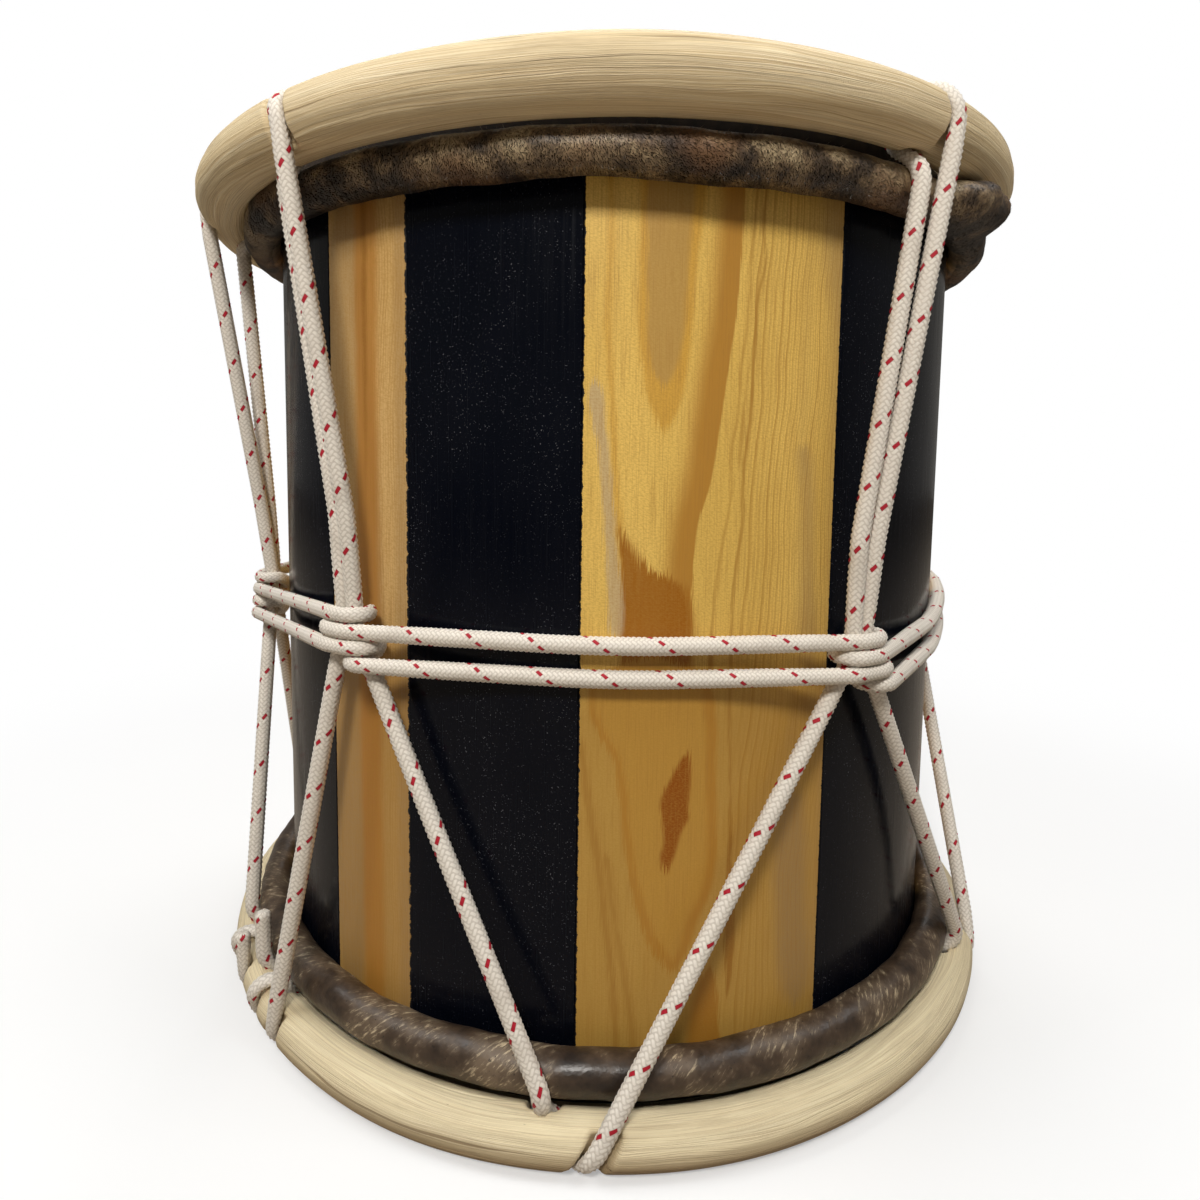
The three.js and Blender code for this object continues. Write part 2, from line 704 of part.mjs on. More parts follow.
const topHead = mesh('top_head', headGeometry(topRollDepth), hide);
topHead.rotation.x = Math.PI / 2;
topHead.position.z = shellTop;
const bottomHead = mesh('bottom_head', headGeometry(bottomRollDepth), hide);
bottomHead.rotation.x = -Math.PI / 2;
bottomHead.position.z = shellBottom;
const topFleshHoop = mesh('top_flesh_hoop', fleshHoopGeometry(), bentWood);
topFleshHoop.position.z = topHoop.rollHeight;
const bottomFleshHoop = mesh('bottom_flesh_hoop', fleshHoopGeometry(), bentWood);
bottomFleshHoop.position.z = bottomHoop.rollHeight;
drum.add(topHead, bottomHead, topFleshHoop, bottomFleshHoop);

const bottomWraps = [...startWraps, ...bottomCrossings, ...endWraps];
drum.add(mesh('top_counter_hoop', counterHoopGeometry(topHoop, topCrossings), peeledVine));
drum.add(mesh('bottom_counter_hoop', counterHoopGeometry(bottomHoop, bottomWraps), peeledVine));

function addRope(name, stations) {
  const rings = ropeRings(stations);
  const { least, length } = leastGap(rings, stations);
  console.log(`${name}: ${length.toFixed(0)} mm long, least gap to itself ${least.toFixed(2)} mm`);
  drum.add(mesh(name, skinRings(rings, false, false), whiteRope));
}
addRope('lacing_rope', lacingStations());
addRope('tie_rope', tieStations());

// The origin lies under the middle of the drum's outline, on the ground
const outline = new THREE.Box3().setFromObject(drum);
const middle = outline.getCenter(new THREE.Vector3());
drum.position.set(-middle.x, -middle.y, 0);

export default drum;
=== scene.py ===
"""A laced drum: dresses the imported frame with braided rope, vine hoops, hairy hide and staves."""
import math

import bmesh
import bpy
import numpy as np
from mathutils import Matrix, Vector


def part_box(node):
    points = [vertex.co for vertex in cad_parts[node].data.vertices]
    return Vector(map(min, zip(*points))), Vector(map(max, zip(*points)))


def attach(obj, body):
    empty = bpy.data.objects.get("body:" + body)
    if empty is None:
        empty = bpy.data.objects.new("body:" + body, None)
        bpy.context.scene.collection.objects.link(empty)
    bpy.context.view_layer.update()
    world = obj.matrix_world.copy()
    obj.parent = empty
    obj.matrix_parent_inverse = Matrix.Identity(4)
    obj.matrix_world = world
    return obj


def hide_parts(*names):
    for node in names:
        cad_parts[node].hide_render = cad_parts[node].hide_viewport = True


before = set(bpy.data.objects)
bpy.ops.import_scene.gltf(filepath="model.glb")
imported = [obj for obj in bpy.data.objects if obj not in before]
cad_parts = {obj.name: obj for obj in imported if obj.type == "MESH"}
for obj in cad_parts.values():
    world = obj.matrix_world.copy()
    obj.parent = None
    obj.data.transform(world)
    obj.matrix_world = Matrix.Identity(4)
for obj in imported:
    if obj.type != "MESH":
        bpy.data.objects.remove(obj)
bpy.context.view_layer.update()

# Lengths are in millimetres from the shell's axis and the ground, angles in degrees.
# Azimuth 0 faces the front (-Y) and grows toward +X.
MM = 0.001

# Shell
SHELL_RADIUS = 140.0
STAVE_THICKNESS = 12.0
SHELL_LENGTH = 300.0
STAVE_EDGES = [-41.3, -26.2, -3.3, 29.8, 68, 93, 119, 146, 171, 197, 222, 246, 268, 288]
JOINT_BEVEL = 0.35
HALF_JOINT = 0.04

# Heads
SEAT = 0.3
SKIN = 0.8
ROLL_RADIUS = 6.5
HEAD_LIFT = 1.9
SHELL_BOTTOM = HEAD_LIFT + SKIN + SEAT
SHELL_TOP = SHELL_BOTTOM + SHELL_LENGTH
ROLL_RING = SHELL_RADIUS + SEAT + ROLL_RADIUS
COLLAR_RADIUS = SHELL_RADIUS + SEAT + SKIN
TOP_ROLL = SHELL_TOP - 18.7
BOTTOM_ROLL = SHELL_BOTTOM + 17.6

# Rope
ROPE_RADIUS = 3.0
SQUEEZED = 2.0
ROPE_SEAT = 0.2
PINCH_SPACE = 2 * (SQUEEZED + 0.4)
FLOOR_GAP = 0.3
WRAP_EXIT = -5.5
ROLL_EXIT = -4.0
BOTH_STRANDS = 60.0
SWELL_LENGTH = 14.0
TAIL_LENGTH = 16.0
KNOT_WIDE = 2.3
KNOT_THICK = 2.6
TIE_WIDE = 2.2
TIE_THICK = 1.9
CLEARANCE = 0.5
BEHIND_ROOM = 1.2
LEAN_ROOM = 0.7
GATHER_LENGTH = 28.0
TIE_TAIL = 24.0
ROW_SPACING = 2 * TIE_WIDE + CLEARANCE
TIE_OFFSET = KNOT_THICK + CLEARANCE + TIE_THICK
LEANING_OFFSET = TIE_OFFSET + LEAN_ROOM
KNOT_RADIUS = SHELL_RADIUS + SEAT + TIE_THICK + TIE_OFFSET + BEHIND_ROOM
STRAND_OFFSET = KNOT_WIDE + CLEARANCE / 2
FREE_OFFSET = ROPE_RADIUS + CLEARANCE / 2
LACING_WIDEST = 2.7
TIE_WIDEST = 2.65
TIE_LOOP_WIDE = 2.35
TIE_RUN_RADIUS = SHELL_RADIUS + SEAT + TIE_WIDEST

# Braid: carriers each way, length of one turn, and how far its strands stand proud
LACING_CARRIERS = 10
TIE_CARRIERS = 12
BRAID_LEAD = 18.6
BRAID_HIGH = 0.15
BRAID_MIDDLE = 0.09
BRAID_LOW = -0.22

# Counter hoops
NOTCH_HALF_WIDTH = 3.1
NOTCH_WALL = 0.35
NOTCH_FADE = 35.0
LEAD_NOTCH_ENDS = (-66.0, -48.0)
NOTCH_OUTSET = 0.6
LEAST_NOTCH = 2.5

TOP_CROSSINGS = [(-39.4, -34.8), (34.8, 37.5), (99, 101), (162, 164), (225, 227), (284.8, 289.6)]
BOTTOM_CROSSINGS = [(-6.2, -0.2), (61, 68), (128.5, 133.5), (192.5, 197.5), (253.5, 258.5)]
START_WRAPS = [(-52, -49.5), (-46.5, -43.5)]
END_WRAPS = [(296, 298.5), (301.5, 304)]
KNOTS = [(-32.8, 146.5), (31.4, 141.3), (98, 144), (163, 144), (226, 144), (283.5, 142)]
TIE_START_KNOT = 3

low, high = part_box("top_flesh_hoop")
AXIS = np.array([(low[0] + high[0]) / 2, (low[1] + high[1]) / 2, 0]) / MM

# Camera
CAMERA_PLACE = (0.0, -357.3, 204.6)
CAMERA_PITCH = 0.0854
CAMERA_YAW = -0.0117
CAMERA_ROLL = 0.0142
CAMERA_LENS = 22.8
CAMERA_SHIFT = -0.07


def add_camera():
    forward = Vector((
        math.sin(CAMERA_YAW) * math.cos(CAMERA_PITCH),
        math.cos(CAMERA_YAW) * math.cos(CAMERA_PITCH),
        -math.sin(CAMERA_PITCH),
    ))
    level = Vector((math.cos(CAMERA_YAW), -math.sin(CAMERA_YAW), 0))
    upright = level.cross(forward)
    right = math.cos(CAMERA_ROLL) * level + math.sin(CAMERA_ROLL) * upright
    up = math.cos(CAMERA_ROLL) * upright - math.sin(CAMERA_ROLL) * level
    data = bpy.data.cameras.new("camera")
    data.sensor_width = 36.0
    data.lens = CAMERA_LENS
    data.shift_y = CAMERA_SHIFT
    data.clip_start = 0.01
    camera = bpy.data.objects.new("camera", data)
    place = (Vector(CAMERA_PLACE) + Vector(AXIS)) * MM
    axes = Matrix((right, up, -forward)).transposed()
    camera.matrix_world = Matrix.Translation(place) @ axes.to_4x4()
    bpy.context.scene.collection.objects.link(camera)
    bpy.context.scene.camera = camera


add_camera()


# ---- Shared helpers: directions, pieces and material nodes

def outward(azimuth):
    angle = np.radians(azimuth)
    return np.stack([np.sin(angle), -np.cos(angle), np.zeros_like(angle)], axis=-1)


def onward(azimuth):
    angle = np.radians(azimuth)
    return np.stack([np.cos(angle), np.sin(angle), np.zeros_like(angle)], axis=-1)


def polar(radius, azimuth, height):
    azimuth, radius, height = np.broadcast_arrays(
        np.asarray(azimuth, float), np.asarray(radius, float), np.asarray(height, float))
    points = outward(azimuth) * radius[..., None]
    points[..., 2] = height
    return points


def smooth_step(low_edge, high_edge, value):
    share = np.clip((value - low_edge) / (high_edge - low_edge), 0, 1)
    return share * share * (3 - 2 * share)


def relief(azimuth, angle, terms, seed):
    """Closed random relief on a ring, about -1 to 1: terms are (waves round the drum, round the stock)."""
    rng = np.random.default_rng(seed)
    total = 0.0
    for around, across in terms:
        phase = rng.uniform(0, 2 * math.pi)
        total = total + np.sin(np.radians(azimuth) * around + np.radians(angle) * across + phase)
    return total / math.sqrt(len(terms))


def add_piece(name, points, faces, materials, replaces=(), closed=True, uvs=None, index=None):
    """A piece from points in millimetres about the shell's axis, riding on the drum's one body."""
    mesh = bpy.data.meshes.new(name)
    mesh.from_pydata(((np.asarray(points) + AXIS) * MM).tolist(), [], faces)
    if uvs is not None:
        mesh.uv_layers.new(name="UVMap").data.foreach_set("uv", np.asarray(uvs, float).ravel())
    for material in materials:
        mesh.materials.append(material)
    if index is not None:
        mesh.polygons.foreach_set("material_index", index)
    mesh.polygons.foreach_set("use_smooth", [True] * len(mesh.polygons))
    if closed:
        work = bmesh.new()
        work.from_mesh(mesh)
        bmesh.ops.recalc_face_normals(work, faces=work.faces)
        work.to_mesh(mesh)
        work.free()
    mesh.update()
    piece = bpy.data.objects.new(name, mesh)
    bpy.context.scene.collection.objects.link(piece)
    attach(piece, "root")
    if replaces:
        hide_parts(*replaces)
    return piece


def loft(rows, columns, close_rows, close_columns):
    """Quads of a grid of points, and the row and column counts of each corner for its UV."""
    faces = []
    corners = []
    for row in range(rows if close_rows else rows - 1):
        for column in range(columns if close_columns else columns - 1):
            quad = [(row, column), (row, column + 1), (row + 1, column + 1), (row + 1, column)]
            faces.append([(r % rows) * columns + c % columns for r, c in quad])
            corners.extend(quad)
    return faces, np.array(corners, float)


TRACE_HEIGHT = 330.0
TRACE_WIDTH = 100.0
TRACE_LEVEL = 0.008


class Shader:
    """Builds one material's nodes with short calls."""

    def __init__(self, name, colour, roughness, **constants):
        self.material = bpy.data.materials.new(name)
        self.material.use_nodes = True
        self.tree = self.material.node_tree
        self.surface = self.tree.nodes["Principled BSDF"]
        self.surface.inputs["Base Color"].default_value = (*colour, 1)
        self.surface.inputs["Roughness"].default_value = roughness
        for socket, value in constants.items():
            self.surface.inputs[socket.replace("_", " ")].default_value = value

    def node(self, kind, inputs=None, **settings):
        node = self.tree.nodes.new("ShaderNode" + kind)
        for key, value in settings.items():
            setattr(node, key, value)
        for socket, value in (inputs or {}).items():
            self.feed(node.inputs[socket], value)
        return node

    def feed(self, socket, value):
        if isinstance(value, bpy.types.NodeSocket):
            self.tree.links.new(value, socket)
        else:
            socket.default_value = value

    def math(self, operation, first, second=0.0, third=0.0):
        return self.node("Math", {0: first, 1: second, 2: third}, operation=operation).outputs[0]

    def split(self, vector):
        return self.node("SeparateXYZ", {0: vector}).outputs

    def join(self, x, y=0.0, z=0.0):
        return self.node("CombineXYZ", {0: x, 1: y, 2: z}).outputs[0]

    def noise(self, vector, scale, detail=3.0, roughness=0.5, distortion=0.0):
        inputs = {"Vector": vector, "Scale": scale, "Detail": detail,
                  "Roughness": roughness, "Distortion": distortion}
        return self.node("TexNoise", inputs).outputs["Fac"]

    def ramp(self, value, stops):
        """Colour along a value: stops are (position, (r, g, b))."""
        node = self.node("ValToRGB", {0: value})
        elements = node.color_ramp.elements
        while len(elements) < len(stops):
            elements.new(0.5)
        for element, (position, colour) in zip(elements, stops):
            element.position = position
            element.color = (*colour, 1)
        return node.outputs[0]

    def range(self, value, from_low, from_high, to_low=0.0, to_high=1.0):
        inputs = {"Value": value, "From Min": from_low, "From Max": from_high,
                  "To Min": to_low, "To Max": to_high}
        return self.node("MapRange", inputs, interpolation_type="SMOOTHSTEP").outputs[0]

    def mix(self, share, first, second):
        node = self.node("Mix", data_type="RGBA")
        self.feed(node.inputs[0], share)
        for socket, value in ((node.inputs[6], first), (node.inputs[7], second)):
            self.feed(socket, value if isinstance(value, bpy.types.NodeSocket) else (*value, 1))
        return node.outputs[2]

    def trace(self, height, points):
        """Distance across a board of a traced edge at a height: points are (height, distance) in mm."""
        node = self.node("FloatCurve", {"Value": self.math("DIVIDE", height, TRACE_HEIGHT)})
        node.mapping.extend = "HORIZONTAL"
        spots = [(up / TRACE_HEIGHT, across / TRACE_WIDTH) for up, across in sorted(points)]
        # A level run beyond each end, because the node's own table rounds a steep last step
        spots = [(spots[0][0] - TRACE_LEVEL, spots[0][1]), *spots, (spots[-1][0] + TRACE_LEVEL, spots[-1][1])]
        curve = node.mapping.curves[0]
        curve.points[0].location = spots[0]
        curve.points[1].location = spots[-1]
        for spot in spots[1:-1]:
            curve.points.new(*spot)
        node.mapping.update()
        return self.math("MULTIPLY", node.outputs[0], TRACE_WIDTH)

    def patch(self, across, height, left, right, left_soft, right_soft):
        """Share of a patch of the board between two traced edges with soft borders."""
        from_left = self.math("SUBTRACT", across, self.trace(height, left))
        from_right = self.math("SUBTRACT", self.trace(height, right), across)
        inside_left = self.range(from_left, -left_soft / 2, left_soft / 2)
        inside_right = self.range(from_right, -right_soft / 2, right_soft / 2)
        return self.math("MULTIPLY", inside_left, inside_right)

    def bump(self, height, distance, strength=1.0, normal=None):
        inputs = {"Height": height, "Distance": distance, "Strength": strength}
        if normal is not None:
            inputs["Normal"] = normal
        return self.node("Bump", inputs).outputs[0]

    def uv(self):
        return self.node("TexCoord").outputs["UV"]

    def place(self):
        return self.node("TexCoord").outputs["Object"]

    def finish(self, colour=None, roughness=None, normal=None):
        for socket, value in (("Base Color", colour), ("Roughness", roughness), ("Normal", normal)):
            if value is not None:
                self.feed(self.surface.inputs[socket], value)
        return self.material


# ---- Counter hoops: round stock, thinned to a neck wherever the rope crosses it

class Hoop:
    def __init__(self, side, beyond_roll, stock, shift, tilt, height, roll_height):
        self.side = side
        self.ring = ROLL_RING + beyond_roll
        self.stock = stock
        self.shift = shift
        self.tilt = tilt
        self.height = height
        self.roll_height = roll_height

    def centre(self, azimuth):
        sine = np.sin(np.radians(azimuth))
        across = self.shift * np.cos(np.radians(azimuth))
        radius = self.shift * sine + np.sqrt(self.ring ** 2 - across ** 2)
        rise = math.tan(math.radians(self.tilt)) * (radius * sine - self.shift)
        return radius, self.height + rise


TOP_HOOP = Hoop(1, 8.8, 9.7, -4.2, 1.5, SHELL_TOP - 3.3, TOP_ROLL)
BOTTOM_HOOP = Hoop(-1, 8.2, 7.8, 0.0, 0.0, 7.8 * math.cos(math.pi / 10), BOTTOM_ROLL)


class Crossing:
    """One pass of the rope over a hoop: pinched at inner, outside at outer."""

    def __init__(self, hoop, inner, outer, knot=None):
        self.hoop = hoop
        self.inner = inner
        self.outer = outer
        self.outset, self.lift, self.neck, self.pinch = self.find_neck()
        self.lean = 0.0
        if knot is not None:
            lateral = STRAND_OFFSET if hoop is TOP_HOOP else -STRAND_OFFSET
            target = KNOTS[knot][0] + math.degrees(lateral / KNOT_RADIUS)
            self.lean = (target - outer) / abs(hoop.height - KNOTS[knot][1])

    def find_neck(self):
        hoop = self.hoop
        radius, height = hoop.centre(self.inner)
        to_roll = ROLL_RADIUS + PINCH_SPACE
        if hoop is BOTTOM_HOOP:
            inset = radius + NOTCH_OUTSET - ROLL_RING
            underside = FLOOR_GAP + 0.4 + 2 * SQUEEZED
            rise = hoop.roll_height - underside
            neck = (inset ** 2 + rise ** 2 - to_roll ** 2) / (2 * (to_roll + rise))
            pinch = 180 + math.degrees(math.atan2(rise - neck, inset))
            return NOTCH_OUTSET, underside + neck - height, neck, pinch
        inset = radius - ROLL_RING
        drop = height - hoop.roll_height
        beside_roll = math.hypot(inset, drop) - to_roll
        beside_collar = radius - COLLAR_RADIUS - PINCH_SPACE
        neck = min(beside_roll, beside_collar, hoop.stock - LEAST_NOTCH)
        return 0.0, 0.0, neck, 180 + math.degrees(math.atan2(drop, inset))

    def seat(self):
        return self.neck + ROPE_SEAT + SQUEEZED

    def around(self, angle, azimuth, distance):
        """Distance from the axis and height of a point round the stock."""
        radius, height = self.hoop.centre(azimuth)
        turn = np.radians(angle)
        return (radius + self.outset + distance * np.cos(turn),
                height + self.lift + distance * np.sin(turn) * self.hoop.side)

    def strand(self, angle):
        """Azimuth of the wrapping strand at an angle round the stock."""
        share = (self.pinch - angle) / (self.pinch - WRAP_EXIT)
        across = self.inner + share * (self.outer - self.inner)
        passed = self.seat() * (math.sin(math.radians(WRAP_EXIT)) - np.sin(np.radians(angle)))
        return np.where(angle >= WRAP_EXIT, across, self.outer + self.lean * passed)

    def notch(self, angle, azimuth, radius):
        """How much of the notch there is at a point of the hoop, from 0 to 1."""
        own = np.where(angle > self.pinch, angle - 360, angle)
        lead = np.radians(apart(self.strand(own), azimuth)) * radius
        trail = np.where(own < -BOTH_STRANDS, np.radians(apart(self.inner, azimuth)) * radius, radius)
        wrap_length = math.radians(self.pinch - WRAP_EXIT) * self.neck
        drift = np.radians(self.outer - self.inner) * radius
        half_width = NOTCH_HALF_WIDTH * np.hypot(1, drift / wrap_length)
        last = self.pinch - 360
        leading = smooth_step(*LEAD_NOTCH_ENDS, own)
        trailing = 1 - smooth_step(last + NOTCH_FADE / 3, last + NOTCH_FADE, own)
        return np.maximum(leading * notch_wall(lead, half_width), trailing * notch_wall(trail, half_width))

    def contact(self, is_inner):
        if is_inner:
            distance = ROLL_RADIUS + ROPE_SEAT + ROPE_RADIUS
            turn = math.radians(ROLL_EXIT)
            out = ROLL_RING + distance * math.cos(turn)
            return polar(out, self.inner, self.hoop.roll_height + distance * math.sin(turn) * self.hoop.side)
        out, height = self.around(WRAP_EXIT, self.outer, self.seat())
        return polar(out, self.outer, height)


def apart(first, second):
    return np.abs(np.mod(second - first + 180, 360) - 180)


def notch_wall(distance, half_width):
    return 1 / (1 + np.exp(np.clip((distance - half_width) / NOTCH_WALL, -50, 50)))


top_crossings = [Crossing(TOP_HOOP, inner, outer, knot)
                 for knot, (inner, outer) in enumerate(TOP_CROSSINGS)]
bottom_crossings = [Crossing(BOTTOM_HOOP, inner, outer, knot + 1)
                    for knot, (inner, outer) in enumerate(BOTTOM_CROSSINGS)]
start_wraps = [Crossing(BOTTOM_HOOP, *START_WRAPS[0]), Crossing(BOTTOM_HOOP, *START_WRAPS[1], 0)]
end_wraps = [Crossing(BOTTOM_HOOP, *wrap) for wrap in END_WRAPS]

HOOP_SIDES = 56
HOOP_STEPS = 1440


def hoop_piece(name, hoop, crossings, material, replaced, seed):
    azimuth = np.arange(HOOP_STEPS)[:, None] * (360 / HOOP_STEPS)
    angle = (np.arange(HOOP_SIDES)[None, :] + 0.5) * (360 / HOOP_SIDES) - 180
    radius, height = hoop.centre(azimuth)
    ridges = relief(azimuth, angle, [(2, 11), (-3, 17), (5, 23), (1, 7), (-2, 29)], seed)
    lumps = relief(azimuth, angle, [(3, 1), (7, -2), (5, 2), (11, 1)], seed + 1)
    rough = 0.13 * ridges + 0.16 * lumps - 0.2
    deepest = np.zeros((HOOP_STEPS, HOOP_SIDES))
    out = radius + (hoop.stock + rough) * np.cos(np.radians(angle))
    rise = height + (hoop.stock + rough) * np.sin(np.radians(angle)) * hoop.side
    plain_out, plain_rise = out.copy(), rise.copy()
    for crossing in crossings:
        cut = crossing.notch(angle, azimuth, radius)
        neck_out, neck_rise = crossing.around(angle, azimuth, crossing.neck)
        is_deeper = cut > deepest
        out = np.where(is_deeper, plain_out + cut * (neck_out - plain_out), out)
        rise = np.where(is_deeper, plain_rise + cut * (neck_rise - plain_rise), rise)
        deepest = np.maximum(deepest, cut)
    rise = np.maximum(rise, 0.02)
    points = polar(out, azimuth, rise).reshape(-1, 3)
    faces, corners = loft(HOOP_STEPS, HOOP_SIDES, True, True)
    girth = [2 * math.pi * hoop.ring * MM, 2 * math.pi * hoop.stock * MM]
    uvs = corners / [HOOP_STEPS, HOOP_SIDES] * girth
    piece = add_piece(name, points, faces, [material], [replaced], uvs=uvs)
    cut_layer = piece.data.attributes.new("cut", "FLOAT", "POINT")
    cut_layer.data.foreach_set("value", deepest.ravel())
    return piece


# ---- Rope routes: stations of (point, sideways, half width, half thickness)

UP = np.array([0.0, 0.0, 1.0])


def lerp(first, second, share):
    return first + (second - first) * share


def unit(vector):
    return vector / np.linalg.norm(vector)


def roll_stations(crossing, steps=8):
    stations = []
    for step in range(steps):
        share = step / steps
        turn = math.radians(lerp(ROLL_EXIT, crossing.pinch - 180, share))
        distance = ROLL_RADIUS + ROPE_SEAT + lerp(ROPE_RADIUS, SQUEEZED, share)
        out = ROLL_RING + distance * math.cos(turn)
        height = crossing.hoop.roll_height + distance * math.sin(turn) * crossing.hoop.side
        thick = lerp(ROPE_RADIUS, SQUEEZED, share)
        stations.append((polar(out, crossing.inner, height), onward(crossing.inner), ROPE_RADIUS, thick))
    return stations


def wrap_stations(crossing, steps=30):
    stations = []
    for step in range(steps + 1):
        angle = lerp(crossing.pinch, WRAP_EXIT, step / steps)
        azimuth = float(crossing.strand(angle))
        out, height = crossing.around(angle, azimuth, crossing.seat())
        stations.append((polar(out, azimuth, height), onward(azimuth), ROPE_RADIUS, SQUEEZED))
    return stations


def link_stations(start, end, steps=10):
    stations = []
    for step in range(1, steps):
        share = step / steps
        angle = lerp(WRAP_EXIT, end.pinch - 360, share)
        azimuth = lerp(start.outer, end.inner, share)
        outside = start.hoop.stock + ROPE_SEAT + SQUEEZED
        distance = lerp(start.seat(), outside, math.sin(share * math.pi))
        out, height = start.around(angle, azimuth, distance)
        stations.append((polar(out, azimuth, height), onward(azimuth), ROPE_RADIUS, SQUEEZED))
    return stations


def swollen(contact, target):
    point = contact + unit(target - contact) * SWELL_LENGTH
    azimuth = math.degrees(math.atan2(point[0], -point[1]))
    return (point, onward(azimuth), ROPE_RADIUS, ROPE_RADIUS)


def at_knot(knot, lateral, out, height):
    azimuth = KNOTS[knot][0]
    return outward(azimuth) * out + onward(azimuth) * lateral + UP * height


def knot_stations(knot, side, top, bottom):
    """One strand of a pair from above its knot to below it; side is -1 for the left strand."""
    azimuth, middle = KNOTS[knot]
    sideways = onward(azimuth)
    knot_top = middle + 2 * ROW_SPACING
    entry = at_knot(knot, side * STRAND_OFFSET, KNOT_RADIUS, knot_top)
    split = at_knot(knot, side * STRAND_OFFSET, KNOT_RADIUS, middle + ROW_SPACING / 2)
    gathered = lerp(entry, top, GATHER_LENGTH / (top[2] - knot_top))
    gathered = gathered + sideways * (side * FREE_OFFSET - gathered @ sideways)
    drop = split[2] - bottom[2]
    lower = lerp(split, bottom, 1.5 * ROW_SPACING / drop)
    free = lerp(split, bottom, 4 * ROW_SPACING / drop)
    return [
        (gathered, sideways, ROPE_RADIUS, ROPE_RADIUS),
        (entry, sideways, KNOT_WIDE, KNOT_THICK),
        (split, sideways, KNOT_WIDE, KNOT_THICK),
        (lower, sideways, KNOT_WIDE, KNOT_THICK),
        (free, sideways, ROPE_RADIUS, ROPE_RADIUS),
    ]


left_contacts = [crossing.contact(False) for crossing in (start_wraps[1], *bottom_crossings)]
right_ends = [*bottom_crossings, end_wraps[0]]
right_contacts = [crossing.contact(True) for crossing in right_ends]


def lacing_stations():
    first = start_wraps[0].contact(True)
    stations = [(first + UP * TAIL_LENGTH, onward(START_WRAPS[0][0]), ROPE_RADIUS, ROPE_RADIUS)]
    stations += roll_stations(start_wraps[0]) + wrap_stations(start_wraps[0])
    stations += link_stations(*start_wraps) + wrap_stations(start_wraps[1])
    for knot, top in enumerate(top_crossings):
        left = knot_stations(knot, -1, top.contact(True), left_contacts[knot])[::-1]
        stations += [swollen(left_contacts[knot], left[0][0]), *left]
        stations += roll_stations(top) + wrap_stations(top)
        right = knot_stations(knot, 1, top.contact(False), right_contacts[knot])
        stations += [swollen(top.contact(False), right[0][0]), *right]
        stations += roll_stations(right_ends[knot]) + wrap_stations(right_ends[knot])
    stations += link_stations(*end_wraps) + wrap_stations(end_wraps[1])
    last = end_wraps[1].contact(False) + UP * TAIL_LENGTH
    stations.append((last, onward(END_WRAPS[1][1]), ROPE_RADIUS, ROPE_RADIUS))
    return stations


def strand_at(knot, side, bottom, height):
    split = at_knot(knot, side * STRAND_OFFSET, KNOT_RADIUS, KNOTS[knot][1] + ROW_SPACING / 2)
    point = lerp(split, bottom, max(0.0, (split[2] - height) / (split[2] - bottom[2])))
    azimuth = KNOTS[knot][0]
    return np.array([point @ onward(azimuth), point @ outward(azimuth)])


def around_strand(centre, offset, start, end, steps):
    turns = np.radians(np.linspace(start, end, steps + 1))
    return [centre + offset * np.array([math.cos(turn), math.sin(turn)]) for turn in turns]


def behind(centre, offset):
    return centre - np.array([0.0, offset])


def tie_turn(knot, is_upper):
    """The tie rope's turn round a pair (upper row) or round its right strand (lower row)."""
    arrive = KNOTS[knot][1] + (1.5 if is_upper else -0.5) * ROW_SPACING
    leave = arrive - ROW_SPACING

    def strands(height):
        return (strand_at(knot, -1, left_contacts[knot], height),
                strand_at(knot, 1, right_contacts[knot], height))

    run_angle = math.degrees(math.acos(TIE_RUN_RADIUS / (KNOT_RADIUS + TIE_OFFSET)))
    offset = TIE_OFFSET if is_upper else LEANING_OFFSET
    left, right = strands(arrive)
    middle_left, middle_right = strands((arrive + leave) / 2)
    last_left, last_right = strands(leave)
    legs = []

    def add_leg(points, start_height, end_height):
        for point, height in zip(points, np.linspace(start_height, end_height, len(points))):
            legs.append(at_knot(knot, point[0], point[1], height))

    add_leg(around_strand(left, offset, 90 + run_angle, 90, 3), arrive, arrive)
    add_leg(around_strand(right, offset, 90, -45, 10), arrive, arrive)
    if is_upper:
        third = ROW_SPACING / 3
        back = [behind(middle_right, TIE_OFFSET), behind(middle_left, TIE_OFFSET)]
        add_leg(back, arrive - third, leave + third)
        add_leg(around_strand(last_left, LEANING_OFFSET, -135, -270, 10), leave, leave)
        add_leg(around_strand(last_right, LEANING_OFFSET, 90, 90 - run_angle, 3), leave, leave)
    else:
        add_leg([behind(middle_right, LEANING_OFFSET)], (arrive + leave) / 2, leave)
        add_leg(around_strand(last_right, LEANING_OFFSET, -135, -270 - run_angle, 13), leave, leave)
    return legs


def landing(point):
    return math.degrees(math.acos(TIE_RUN_RADIUS / math.hypot(point[0], point[1])))


def azimuth_of(point):
    return math.degrees(math.atan2(point[0], -point[1]))


